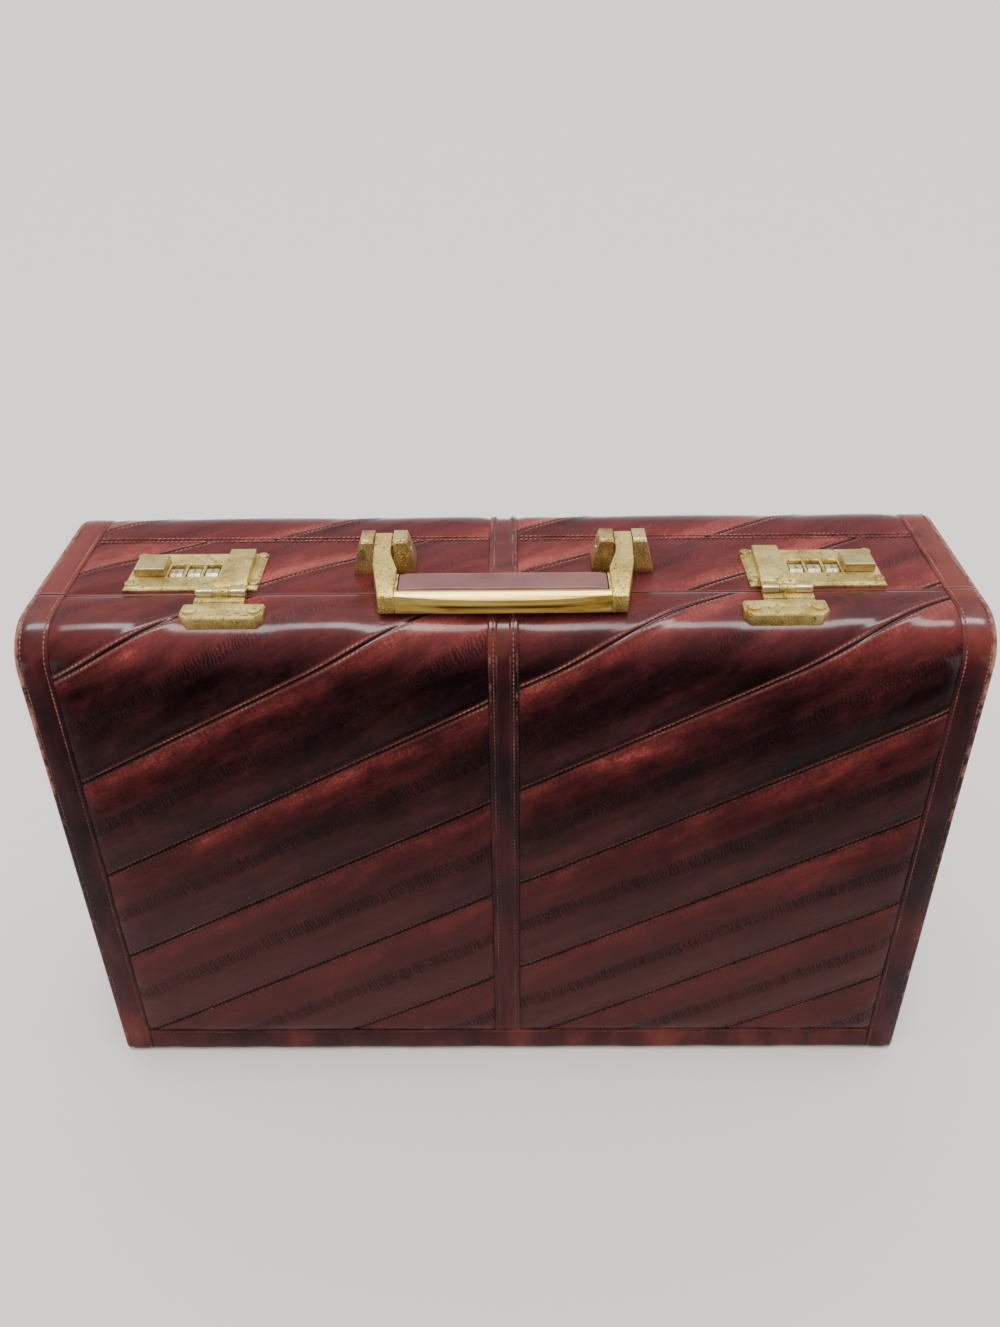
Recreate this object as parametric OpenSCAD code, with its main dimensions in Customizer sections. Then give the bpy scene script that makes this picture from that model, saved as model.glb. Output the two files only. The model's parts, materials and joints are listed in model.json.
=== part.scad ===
// Leather-covered attache case, standing on its hinge side.
// X runs along the case, +Y from the lid into the base, +Z up.
// The origin is on the resting plane, in the middle of the footprint.
// Each piece is drawn with Y measured from the line where lid and base meet, and is then centred.

/* [Case] */
// Outside length of the case
case_w = 457; // [430:1:500]
// Outside height of the case as it stands
case_h = 295; // [280:1:330]
// Outside depth of the lid
lid_d = 36.5; // [34:0.5:45]
// Outside depth of the base
base_d = 95.5; // [90:0.5:120]
// Radius of the long rolls at the top
roll_r = 22; // [16:1:26]
// Radius of the long edges at the bottom
foot_r = 4; // [3:0.5:6]
// Open line between lid and base
part_gap = 0.8; // [0.6:0.1:1.6]

/* [Walls] */
// Thickness of the binding, strap and foot strips
trim_t = 0.8; // [0.6:0.1:1.2]
// Thickness of the leather cover
skin_t = 1.2; // [1:0.1:1.8]
// Thickness of the wooden boards
board_t = 5; // [4:0.5:7]
// Thickness of the cloth lining
lining_t = 0.8; // [0.5:0.1:1.2]
// Width of the glue line between two boards
glue_gap = 0.1; // [0.05:0.05:0.3]
// Distance of the rear cover seam from the parting line
back_seam_y = 55.5; // [48:0.5:62]
// Width of the open line in that seam
back_seam_gap = 0.3; // [0.2:0.1:0.6]

/* [Trim] */
// Width of the end bindings on the long faces
bind_w = 16.5; // [12:0.5:22]
// Width of the end bindings on the end faces
bind_end_w = 12; // [8:1:16]
// Width of the centre strap
strap_w = 14; // [10:1:18]
// Height of the foot strips
foot_strip_h = 18; // [12:1:26]
// Clear line between neighbouring trim strips
trim_gap = 0.2; // [0.1:0.1:0.5]
// Depth of the rim lip that enters the lid
lip_reach = 6; // [4:0.5:9]
// Depth of the rim lip inside the base
lip_hold = 14; // [10:1:20]
// Thickness of the rim lip
lip_t = 2; // [1.5:0.5:3]
// Clearance between the rim lip and the lid lining
lip_clear = 0.6; // [0.4:0.1:1.2]

/* [Main hinge] */
// Length of the hinge along the case
hinge_w = 400; // [340:5:420]
// Number of knuckles
knuckle_n = 16; // [10:2:24]
// Outside radius of the knuckles
knuckle_r = 2; // [1.8:0.1:2.2]
// Radius of the hinge pin
hinge_pin_r = 1; // [0.8:0.1:1.2]
// Clear height under the knuckles
hinge_lift = 0.2; // [0.1:0.1:0.5]
// Thickness of a hinge leaf
leaf_t = 1; // [0.8:0.1:1.2]
// Distance from the hinge axis to a leaf's edge
leaf_reach = 14; // [12:0.5:18]
// Half width of the groove that the knuckles lie in
groove_half = 3.2; // [3:0.1:4]
// Screws in each hinge leaf
hinge_screw_n = 8; // [5:1:12]

/* [Locks] */
// Distance from each end of the case to its middle number wheel
wheel_end = 75; // [68:0.5:82]
// Width of the plate beyond each end of the lock case
plate_rim = 5.8; // [5.6:0.1:8]
// Width of a lock plate
plate_d = 35.5; // [35:0.5:38]
// Thickness of a lock plate
plate_t = 2.4; // [2:0.1:3]
// Width of a lock plate's bevelled edge
plate_bevel = 1.2; // [0.6:0.1:1.6]
// Distance from the parting line to a lock plate
plate_y0 = 3; // [2.5:0.5:4]
// Distance between two number wheels
wheel_pitch = 8.9; // [8.6:0.1:9.2]
// Radius of a number wheel over its corners
wheel_r = 7.5; // [7:0.1:7.8]
// Width of a number wheel
wheel_w = 6.4; // [5.6:0.1:6.6]
// Depth of the wheels' top below the plate's face
wheel_sink = 0.5; // [0.3:0.1:1]
// Radius of the wheels' axle
axle_r = 1.2; // [1:0.1:1.6]
// Distance of a lock case's sides from its plate's edges
case_edge = 1.75; // [1.5:0.05:2.5]
// Clearance between the number wheels and the lock case's floor
wheel_floor_gap = 0.7; // [0.5:0.1:2]
// Wall of a lock case
lock_wall = 1.2; // [1:0.1:1.4]
// Length of a lock button
button_w = 15; // [13:0.5:16]
// Width of a lock button
button_d = 15; // [12:0.5:17]
// Height of a lock button above its plate
button_h = 4.6; // [3.5:0.1:6]
// Travel of a lock button
button_travel = 3; // [2:0.5:3.5]
// Radius of the latch bolt's rod
bolt_r = 1.3; // [1:0.1:1.5]
// Clearance between the latch bolt's collar and the lock case's front wall
bolt_room = 1.7; // [1.2:0.1:2.5]
// Clearance between the latch bolt's collar and the number wheels
wheel_gap = 1.45; // [0.8:0.05:2.5]
// Length of the latch bolt's nose
nose_len = 2.35; // [2:0.05:3]
// Gap between the bolt's nose and the flap's catch
nose_gap = 0.3; // [0.2:0.1:0.6]

/* [Hasps] */
// Distance of a hasp plate's middle from the catch, outward
hasp_shift = 1.1; // [0:0.1:2]
// Length of a hasp plate
hasp_w = 39.5; // [37:0.5:44]
// Rear edge of a hasp plate, measured forward from the parting line
hasp_y0 = 12.5; // [11:0.5:14]
// Front edge of a hasp plate, measured forward from the parting line
hasp_y1 = 26; // [24:0.5:28]
// Height of a hasp plate above the leather
hasp_h = 2.8; // [2:0.1:3.6]
// Radius of a hasp knuckle
barrel_r = 2.4; // [2:0.1:2.6]
// Length of the hasp's barrel
barrel_w = 24; // [20:0.5:28]
// Distance of the barrel's middle from the catch, outward
barrel_shift = 4.6; // [4:0.1:5]
// Barrel axis, measured forward from the parting line
barrel_y = 2.6; // [2.4:0.1:3]
// Height of the barrel axis above the leather
barrel_z = 2.8; // [2.7:0.1:3.4]
// Radius of the hasp pin
hasp_pin_r = 1; // [0.8:0.1:1.2]
// Width of the flap where it lies on the lock plate
flap_w = 14.2; // [12:0.2:14.6]
// Length of the flap behind the parting line
flap_reach = 36; // [32:0.5:36.5]
// Thickness of the flap
flap_t = 3.2; // [2.4:0.1:4]
// Width of the flap's catch
catch_w = 3.6; // [3:0.1:4]
// Depth of the catch below the leather
catch_drop = 3.6; // [3:0.1:4]

/* [Handle] */
// Distance of each handle mount's middle from the case's middle
mount_x = 59; // [56:0.5:62]
// Distance of the handle's axis from the parting line
mount_y = 28.5; // [27:0.5:31]
// Width of a mount at its foot
mount_w = 30.2; // [28:0.2:34]
// Depth of a mount at its foot
mount_d = 18; // [17:0.5:22]
// Height of a mount
mount_h = 17.2; // [16:0.2:20]
// Height of the handle's axis above the leather
pivot_h = 11; // [10.5:0.1:12]
// Radius of the handle pins
pivot_r = 1.5; // [1.2:0.1:2]
// Radius of an arm's eye
eye_r = 6.4; // [5:0.1:6.8]
// Thickness of an arm at its eye
arm_w = 8.5; // [8:0.1:9]
// Clearance on each side of an arm in its mount
arm_clear = 0.5; // [0.3:0.1:0.8]
// Reach of the handle's front face before the parting line
grip_reach = 21.5; // [18:0.5:26]
// Depth of the grip bar from front to back
grip_d = 20; // [17:0.5:22]
// Height of the grip's underside above the leather
grip_z0 = 1.7; // [1.5:0.1:2.5]
// Height of the grip's top above the leather
grip_z1 = 12.4; // [11:0.2:14]
// Bow of the grip's front face
grip_bow = 2.4; // [0.5:0.1:4]
// How far each arm leans in between its mount and the grip's end
arm_lean = 8.5; // [4:0.1:9]

/* [Lid stays] */
// Distance of the lower pivot from the base's back
stay_inset = 17.5; // [15:0.5:30]
// Height of the lower pivot above the main hinge
stay_base_z = 50; // [46:1:60]
// Distance of the lid pivot from the lid's face
stay_lid_inset = 16.5; // [14.5:0.5:18]
// Height of the lid pivot above the main hinge
stay_lid_z = 100; // [90:1:110]
// Width of a stay bar
stay_w = 8; // [7:0.5:9]
// Radius of the eyes at a stay bar's ends
stay_eye_r = 4.8; // [4.7:0.1:5.5]
// Thickness of a stay bar
stay_t = 1.8; // [1.4:0.1:2]
// Radius of the stays' rivets
stay_pin_r = 1.5; // [1.2:0.1:1.8]
// Radial clearance at the stays' open lid pivot
stay_open_clear = 0.6; // [0.4:0.1:0.8]
// Distance of the stays from the lining
stay_offset = 4.3; // [4:0.1:6]

/* [Fasteners] */
// Head radius of the lock plates' screws
lock_screw_head_r = 2.1; // [1.8:0.1:2.3]
// Shank radius of the lock plates' screws
lock_screw_r = 1.1; // [0.9:0.1:1.3]
// Head radius of the hasp rivets
rivet_head_r = 3.2; // [2.6:0.1:3.6]
// Shank radius of the hasp rivets
rivet_r = 1.4; // [1.2:0.1:1.8]
// Shank radius of the handle bolts
handle_bolt_r = 2; // [1.6:0.1:2.4]
// Head radius of the hinge screws
hinge_screw_head_r = 1.8; // [1.5:0.1:2]
// Shank radius of the hinge screws
hinge_screw_r = 0.9; // [0.7:0.1:1]
// Radial clearance of pins in their holes
pin_clear = 0.05; // [0.02:0.01:0.09]
// Clearance between flat sliding faces
slide_clear = 0.3; // [0.2:0.05:0.4]

/* [Hidden] */
$fn = 48;
big = 1000;
half_gap = part_gap / 2;
// Depths from the outermost surface to each layer
skin_in = trim_t;
board_in = trim_t + skin_t;
lining_in = board_in + board_t;
inner_in = lining_in + lining_t;
// The leather's own surface on top of the case
top_z = case_h - trim_t;
// Main hinge
knuckle_pitch = hinge_w / knuckle_n;
hinge_z = knuckle_r + hinge_lift;
knuckle_play = 0.2;
groove_top = hinge_z + knuckle_r + 0.4;
leaf_top = board_in;
leaf_bottom = leaf_top - leaf_t;
leaf_edge_gap = 0.2;
leaf_root = knuckle_r + 0.3;
hinge_screw_y = (leaf_root + leaf_reach) / 2 + 0.8;
hinge_screw_len = 4;
// Locks, drawn for the right-hand end
plate_top = top_z + plate_t;
plate_y1 = plate_y0 + plate_d;
spring_wire = 0.35;
spring_mean_r = bolt_r + 0.4 + spring_wire / 2;
collar_r = spring_mean_r + spring_wire / 2;
case_y0 = plate_y0 + case_edge;
case_y1 = plate_y1 - case_edge;
bolt_y = case_y0 + lock_wall + bolt_room + collar_r;
bolt_z = top_z - 2 * bolt_r;
wheel_y = bolt_y + collar_r + wheel_gap + wheel_r;
wheel_flat = wheel_r * cos(18);
wheel_z = plate_top - wheel_sink - wheel_flat;
wheel_x2 = case_w / 2 - wheel_end;
window_w = wheel_w + 1;
window_d = 1.64 * wheel_r;
window_bevel = 0.5;
hub_r = axle_r + 1.3;
rib_x0 = wheel_x2 - 1.5 * wheel_pitch - slide_clear - lock_wall;
rib_x1 = wheel_x2 + 1.5 * wheel_pitch + slide_clear;
catch_x = rib_x0 - slide_clear - button_travel - nose_len - nose_gap - catch_w / 2;
slot_w = catch_w + 1.4;
slot_rim = 1.9;
catch_swing = norm([bolt_y + catch_w / 2 + barrel_y, catch_drop + barrel_z]);
slot_y1 = catch_swing - barrel_y + slide_clear;
nose_x = catch_x + catch_w / 2 + nose_gap;
stem_w = 6;
stem_x = rib_x1 + lock_wall + slide_clear + stem_w / 2;
case_x0 = catch_x - slot_w / 2 - slot_rim - lock_wall;
case_x1 = stem_x + stem_w / 2 + button_travel + 2 * slide_clear + lock_wall;
case_fit = 0.2;
lock_case_h = wheel_sink + wheel_flat + wheel_r - plate_t + wheel_floor_gap + lock_wall;
plate_x0 = case_x0 - plate_rim;
plate_x1 = case_x1 + plate_rim;
button_x = plate_x1 - button_travel - button_w / 2 - 0.4;
button_y = wheel_y + 0.8;
spring_x1 = rib_x1 - spring_wire;
spring_x0 = spring_x1 - 15;
spring_turns = 7;
lock_screw_x0 = plate_x0 + lock_screw_head_r + 0.4;
lock_screw_x1 = plate_x1 - lock_screw_head_r - 0.6;
lock_screw_y0 = plate_y0 + lock_screw_head_r + 3;
lock_screw_y1 = plate_y1 - lock_screw_head_r - 1;
lock_screw_head_t = 0.8;
lock_screw_len = 6.5;
// Hasps
barrel_cz = top_z + barrel_z;
knuckle_w = barrel_w / 3;
barrel_x = catch_x + barrel_shift;
hasp_x = catch_x + hasp_shift;
barrel_x0 = barrel_x - barrel_w / 2;
barrel_x1 = barrel_x + barrel_w / 2;
flap_z0 = plate_top + slide_clear;
flap_x0 = barrel_x0 + 0.6;
flap_root = barrel_r + 0.3;
leaf_lip_t = 2;
neck_t = 1.3;
hasp_corner = 4;
rivet_spread = 15.2;
rivet_y = (hasp_y0 + hasp_y1) / 2;
rivet_head_t = 1;
rivet_tail_r = rivet_r + 1.4;
rivet_tail_z = case_h - roll_r - 0.1
  + sqrt(pow(roll_r - inner_in, 2) - pow(rivet_y + rivet_tail_r - lid_d + roll_r, 2));
// Handle
pivot_z = top_z + pivot_h;
grip_half = mount_x - arm_lean;
slot_half = arm_w / 2 + arm_clear;
mount_plinth = 2.5;
mount_top_d = 10;
mount_top_w = mount_w - 7.8;
mount_chamfer = 1.6;
grip_y0 = -grip_reach;
grip_y1 = grip_y0 + grip_d;
grip_bevel = 2.6;
grip_bevel_d = 3.4;
pad_sink = 0.9;
pad_rise = 0.8;
pad_edge = 1.2;
arm_gap = 0.1;
bolt_out = 9.5;
handle_bolt_head_r = handle_bolt_r + 2.2;
handle_bolt_head_t = 2;
handle_bolt_z = top_z + 6.5;
// Lid stays, drawn for the right-hand end
stay_x = case_w / 2 - inner_in - stay_offset;
stay_bx = stay_x - 0.2 - stay_t;
base_pivot = [base_d - stay_inset, hinge_z + stay_base_z];
lid_pivot = [stay_lid_inset - lid_d, hinge_z + stay_lid_z];
knee = base_pivot + [stay_lid_inset - lid_d, stay_lid_z];
rivet_lip = 0.8;
bracket_t = 1.5;
bracket_h = 15;

// Draws an outline in Y and Z and extrudes it from x0 to x1
module slab_x(x0, x1) {
  translate([x0, 0, 0]) rotate([90, 0, 90]) linear_extrude(x1 - x0) children();
}

// Draws an outline in X and Z and extrudes it from y0 to y1
module slab_y(y0, y1) {
  translate([0, y1, 0]) rotate([90, 0, 0]) linear_extrude(y1 - y0) children();
}

// Box between two corners
module box(low, high) {
  translate(low) cube(high - low);
}

// Round bar along X
module bar_x(x0, x1, y, z, r) {
  translate([x0, y, z]) rotate([0, 90, 0]) cylinder(r = r, h = x1 - x0);
}

// The part drawn for the right-hand end, on the side asked for: 1 is right, -1 is left
module on_side(side) {
  if (side > 0) children();
  else mirror([1, 0, 0]) children();
}

// Moves a piece from the parting line, where it is drawn, to the middle of the footprint
module centred() {
  translate([0, (lid_d - base_d) / 2, 0]) children();
}

module both_sides() {
  children();
  mirror([1, 0, 0]) children();
}

// Section of the case in Y and Z, taken in from its outermost surface
module case_profile(inset) {
  y0 = inset - lid_d;
  y1 = base_d - inset;
  z1 = case_h - inset;
  rt = roll_r - inset;
  rf = max(foot_r - inset, 0);
  translate([y0, inset + rf]) square([y1 - y0, z1 - rt - inset - rf]);
  translate([y0 + rt, z1 - rt]) square([y1 - y0 - 2 * rt, rt]);
  for (y = [y0 + rt, y1 - rt]) translate([y, z1 - rt]) circle(r = rt);
  if (rf > 0) {
    translate([y0 + rf, inset]) square([y1 - y0 - 2 * rf, rf]);
    for (y = [y0 + rf, y1 - rf]) translate([y, inset + rf]) circle(r = rf);
  }
}

module case_solid(inset) {
  half = case_w / 2 - inset;
  slab_x(-half, half) case_profile(inset);
}

// Everything behind y, and everything before -y
module behind(y) {
  box([-big, y, -big], [big, big, big]);
}

module before(y) {
  box([-big, -big, -big], [big, -y, big]);
}

module layer(outer, inner) {
  difference() {
    case_solid(outer);
    case_solid(inner);
  }
}

// Cuts in the bottom wall for the main hinge
module hinge_room() {
  half = hinge_w / 2 + leaf_edge_gap;
  box([-case_w, -groove_half, -1], [case_w, groove_half, groove_top]);
  box([-half, -leaf_reach - leaf_edge_gap, -1], [half, leaf_reach + leaf_edge_gap, leaf_top]);
}

module hinge_screw_places(side) {
  step = hinge_w / hinge_screw_n;
  for (i = [0 : hinge_screw_n - 1])
    translate([(i + 0.5) * step - hinge_w / 2, side * hinge_screw_y, 0]) children();
}

module hinge_screw_holes(side) {
  hinge_screw_places(side) {
    translate([0, 0, leaf_bottom - 1]) cylinder(r = hinge_screw_head_r + pin_clear, h = 1.6);
    translate([0, 0, leaf_bottom]) cylinder(r = hinge_screw_r + pin_clear, h = hinge_screw_len + 1.4);
  }
}

// Pockets in the top wall for the two lock cases, and the ways in for the flaps' catches
module lock_room() {
  both_sides() {
    box([case_x0 - case_fit, case_y0 - case_fit, case_h / 2],
        [case_x1 + case_fit, case_y1 + case_fit, case_h + 1]);
    box([catch_x - slot_w / 2, -1, top_z - catch_drop - 0.7], [catch_x + slot_w / 2, case_y0, case_h + 1]);
    lock_screw_places() cylinder(r = lock_screw_r + pin_clear, h = 2 * inner_in, center = true);
  }
}

module lock_screw_places() {
  for (x = [lock_screw_x0, lock_screw_x1], y = [lock_screw_y0, lock_screw_y1])
    translate([x, y, top_z]) children();
}

module handle_bolt_places() {
  both_sides()
    for (s = [-1, 1]) translate([mount_x + s * bolt_out, mount_y, 0]) children();
}

module handle_bolt_holes() {
  handle_bolt_places() translate([0, 0, case_h / 2])
    cylinder(r = handle_bolt_r + pin_clear, h = handle_bolt_z + slide_clear - case_h / 2);
}

module rivet_places() {
  both_sides()
    for (s = [-1, 1]) translate([hasp_x + s * rivet_spread, -rivet_y, 0]) children();
}

module rivet_holes() {
  rivet_places() translate([0, 0, case_h / 2]) cylinder(r = rivet_r + pin_clear, h = case_h);
}

// Wooden boards of one half: ends, bottom, face, roll and top, with glue lines between them
module boards(edge, face_y, depth) {
  ends = case_w / 2 - lining_in;
  roll_z = case_h - roll_r;
  roll_y = depth - roll_r;
  for (s = [-1, 1]) intersection() {
    slab_x(s > 0 ? ends : -ends - board_t, s > 0 ? ends + board_t : -ends) case_profile(board_in);
    rear_of(edge, face_y);
  }
  intersection() {
    difference() {
      slab_x(glue_gap - ends, ends - glue_gap) case_profile(board_in);
      slab_x(-ends, ends) case_profile(lining_in);
    }
    rear_of(edge, face_y);
    union() {
      rear_box(face_y, 0, big, -1, lining_in);
      rear_box(face_y, depth - lining_in, big, lining_in + glue_gap, roll_z - glue_gap);
      rear_box(face_y, roll_y + glue_gap, big, roll_z, big);
      rear_box(face_y, 0, roll_y, case_h - lining_in, big);
    }
  }
}

// Space behind the edge on the side that face_y points to: 1 is the base, -1 is the lid
module rear_of(edge, face_y) {
  if (face_y > 0) behind(edge);
  else before(edge);
}

module rear_box(face_y, y0, y1, z0, z1) {
  if (face_y > 0) box([-big, y0, z0], [big, y1, z1]);
  else box([-big, -y1, z0], [big, -y0, z1]);
}

// Leather of one half: outside, and turned over the boards' edges at the parting line
module leather(face_y) {
  difference() {
    intersection() {
      case_solid(skin_in);
      rear_of(half_gap, face_y);
    }
    intersection() {
      case_solid(board_in);
      rear_of(half_gap + skin_t, face_y);
    }
    case_solid(lining_in);
    hinge_room();
  }
}

module lining(face_y) {
  intersection() {
    layer(lining_in, inner_in);
    rear_of(half_gap, face_y);
  }
}

module end_bindings(face_y) {
  difference() {
    intersection() {
      layer(0, skin_in);
      rear_of(half_gap, face_y);
      both_sides() box([case_w / 2 - bind_w, -big, -big], [big, big, big]);
    }
    slab_x(-big, big) case_profile(bind_end_w);
    hinge_room();
  }
}

module strap(face_y) {
  intersection() {
    layer(0, skin_in);
    rear_of(half_gap, face_y);
    box([-strap_w / 2, -big, foot_strip_h + trim_gap], [strap_w / 2, big, big]);
  }
}

module foot_strip(face_y) {
  half = case_w / 2 - bind_w - trim_gap;
  intersection() {
    layer(0, skin_in);
    rear_of(leaf_reach + 2 * leaf_edge_gap, face_y);
    box([-half, -big, -1], [half, big, foot_strip_h]);
  }
}

module base_boards() {
  color("burlywood") centred() difference() {
    boards(half_gap + skin_t, 1, base_d);
    hinge_room();
    hinge_screw_holes(1);
    lock_room();
    handle_bolt_holes();
  }
}

module base_band_leather() {
  color("#7a2f2c") centred() difference() {
    leather(1);
    behind(back_seam_y - back_seam_gap / 2);
    lock_room();
    handle_bolt_holes();
  }
}

module base_back_leather() {
  color("#7a2f2c") centred() intersection() {
    leather(1);
    behind(back_seam_y + back_seam_gap / 2);
  }
}

module base_end_bindings() {
  color("#5e2623") centred() end_bindings(1);
}

module base_strap() {
  color("#5e2623") centred() strap(1);
}

module base_foot_strip() {
  color("#5e2623") centred() foot_strip(1);
}

module base_lining() {
  color("#8d7a5f") centred() difference() {
    lining(1);
    lock_room();
    handle_bolt_holes();
  }
}

// Four stiff lip strips glued round the base's opening, stepped in where they enter the lid
module rim_lip() {
  x_in = case_w / 2 - inner_in - lip_clear - lip_t;
  color("#4a3227") centred() difference() {
    union() {
      lip_frame(inner_in, half_gap, lip_hold);
      lip_frame(inner_in + lip_clear, -lip_reach, half_gap + 1);
    }
    both_sides() box([x_in - glue_gap, -big, -big], [x_in, big, big]);
    lock_room();
  }
}

// Open frame from the given depth to the lip's inner face
module lip_frame(outer, y0, y1) {
  inner = inner_in + lip_clear + lip_t;
  difference() {
    box([outer - case_w / 2, y0, outer], [case_w / 2 - outer, y1, case_h - outer]);
    box([inner - case_w / 2, y0 - 1, inner], [case_w / 2 - inner, y1 + 1, case_h - inner]);
  }
}

// One leaf of the main hinge with every second knuckle
module hinge_leaf(face_y) {
  first = face_y > 0 ? 0 : 1;
  color("goldenrod") centred() difference() {
    union() {
      rear_span(face_y, leaf_root, leaf_reach);
      for (i = [first : 2 : knuckle_n - 1]) {
        x0 = i * knuckle_pitch - hinge_w / 2 + knuckle_play / 2;
        x1 = x0 + knuckle_pitch - knuckle_play;
        bar_x(x0, x1, 0, hinge_z, knuckle_r);
        intersection() {
          rear_span(face_y, hinge_pin_r + pin_clear + 0.25, leaf_root + 0.1);
          box([x0, -big, -1], [x1, big, big]);
        }
      }
    }
    bar_x(-hinge_w, hinge_w, 0, hinge_z, hinge_pin_r + pin_clear);
    hinge_screw_holes(face_y);
  }
}

module rear_span(face_y, y0, y1) {
  low = face_y > 0 ? y0 : -y1;
  box([-hinge_w / 2, low, leaf_bottom], [hinge_w / 2, low + y1 - y0, leaf_top]);
}

module hinge_leaf_base() {
  hinge_leaf(1);
}

module hinge_leaf_lid() {
  hinge_leaf(-1);
}

module hinge_pin() {
  color("darkgoldenrod") centred() bar_x(-hinge_w / 2, hinge_w / 2, 0, hinge_z, hinge_pin_r);
}

module hinge_screws(side) {
  color("goldenrod") centred() hinge_screw_places(side) {
    translate([0, 0, leaf_bottom]) cylinder(r = hinge_screw_head_r, h = 0.6);
    translate([0, 0, leaf_bottom + 0.5]) cylinder(r = hinge_screw_r, h = hinge_screw_len);
  }
}

module hinge_screws_base() {
  hinge_screws(1);
}

module hinge_screws_lid() {
  hinge_screws(-1);
}

// Plate with a bevel all round its top, or a pocket that widens upward where the bevel is negative
module bevel_slab(x0, x1, y0, y1, z0, z1, bevel) {
  drop = abs(bevel);
  intersection() {
    slab_x(x0 - drop, x1 + drop)
      polygon([[y0, z0], [y1, z0], [y1, z1 - drop], [y1 - bevel, z1], [y0 + bevel, z1], [y0, z1 - drop]]);
    slab_y(y0 - drop, y1 + drop)
      polygon([[x0, z0], [x1, z0], [x1, z1 - drop], [x1 - bevel, z1], [x0 + bevel, z1], [x0, z1 - drop]]);
  }
}

module lock_plate(side) {
  travel = button_travel + slide_clear;
  color("#b79a4c") centred() on_side(side) difference() {
    bevel_slab(plate_x0, plate_x1, plate_y0, plate_y1, top_z, plate_top, plate_bevel);
    for (i = [-1 : 1]) {
      wx = wheel_x2 + i * wheel_pitch;
      bevel_slab(wx - window_w / 2, wx + window_w / 2, wheel_y - window_d / 2, wheel_y + window_d / 2,
                 top_z - 1, plate_top, -window_bevel);
    }
    box([stem_x - stem_w / 2 - slide_clear, wheel_y - stem_w / 2 - slide_clear, top_z - 1],
        [stem_x + stem_w / 2 + travel, wheel_y + stem_w / 2 + slide_clear, case_h + 9]);
    box([catch_x - slot_w / 2, 0, top_z - 1], [catch_x + slot_w / 2, slot_y1, case_h + 9]);
    lock_screw_places() {
      translate([0, 0, plate_t - lock_screw_head_t])
        cylinder(r = lock_screw_head_r + pin_clear, h = lock_screw_head_t + 1);
      translate([0, 0, -1]) cylinder(r = lock_screw_r + pin_clear, h = plate_t + 2);
    }
  }
}

module lock_plate_l() {
  lock_plate(-1);
}

module lock_plate_r() {
  lock_plate(1);
}

// Sheet metal box under the plate, with two ribs that carry the wheels' axle
module lock_case(side) {
  floor_z = top_z - lock_case_h;
  color("#8f8a80") centred() on_side(side) difference() {
    union() {
      difference() {
        box([case_x0, case_y0, floor_z], [case_x1, case_y1, top_z]);
        box([case_x0 + lock_wall, case_y0 + lock_wall, floor_z + lock_wall],
            [case_x1 - lock_wall, case_y1 - lock_wall, top_z + 1]);
      }
      for (x = [rib_x0, rib_x1])
        box([x, case_y0 + lock_wall / 2, floor_z + lock_wall / 2],
            [x + lock_wall, case_y1 - lock_wall / 2, top_z]);
    }
    bar_x(rib_x0 - 1, rib_x1 + lock_wall + 1, wheel_y, wheel_z, axle_r + pin_clear);
    bar_x(rib_x0 - 1, rib_x1 + lock_wall + 1, bolt_y, bolt_z, bolt_r + pin_clear);
    box([catch_x - slot_w / 2, 0, top_z - catch_drop - 0.7],
        [catch_x + slot_w / 2, case_y0 + lock_wall + 1, case_h]);
  }
}

module lock_case_l() {
  lock_case(-1);
}

module lock_case_r() {
  lock_case(1);
}

module wheel_axles() {
  color("#8f8a80") centred() both_sides()
    bar_x(rib_x0 + 0.1, rib_x1 + lock_wall - 0.1, wheel_y, wheel_z, axle_r);
}

// Points on a coil of spring wire round the latch bolt
function coil_ring(a, steps, x0, length, turns, mean_r, wire) =
  let (ang = 360 * turns * a / steps, x = x0 + length * a / steps)
  let (lead = atan2(length / turns, 2 * PI * mean_r))
  [for (k = [0 : 5])
    let (q = 60 * k, out = mean_r + wire * cos(q), side_x = wire * sin(q))
    [x + side_x * cos(lead), bolt_y + out * cos(ang) + side_x * sin(lead) * sin(ang),
     bolt_z + out * sin(ang) - side_x * sin(lead) * cos(ang)]];

module coil(x0, x1, turns, mean_r, wire) {
  steps = turns * 8;
  rings = [for (a = [0 : steps]) coil_ring(a, steps, x0, x1 - x0, turns, mean_r, wire)];
  points = [for (ring = rings, p = ring) p];
  sides = [for (a = [0 : steps - 1], k = [0 : 5])
    let (p = a * 6 + k, q = a * 6 + (k + 1) % 6) each [[p, q, q + 6], [p, q + 6, p + 6]]];
  ends = [[for (k = [5 : -1 : 0]) k], [for (k = [0 : 5]) steps * 6 + k]];
  polyhedron(points, concat(sides, ends));
}

// Return spring of a latch bolt
module lock_spring(side) {
  color("silver") centred() on_side(side)
    coil(spring_x0 + spring_wire, spring_x1 - 0.1, spring_turns, spring_mean_r, spring_wire / 2);
}

module lock_spring_l() {
  lock_spring(-1);
}

module lock_spring_r() {
  lock_spring(1);
}

module lock_screws() {
  color("#c9ad62") centred() both_sides() lock_screw_places() {
    translate([0, 0, plate_t - lock_screw_head_t]) cylinder(r = lock_screw_head_r, h = lock_screw_head_t);
    translate([0, 0, plate_t - lock_screw_head_t - lock_screw_len + 0.1])
      cylinder(r = lock_screw_r, h = lock_screw_len);
  }
}

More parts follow.
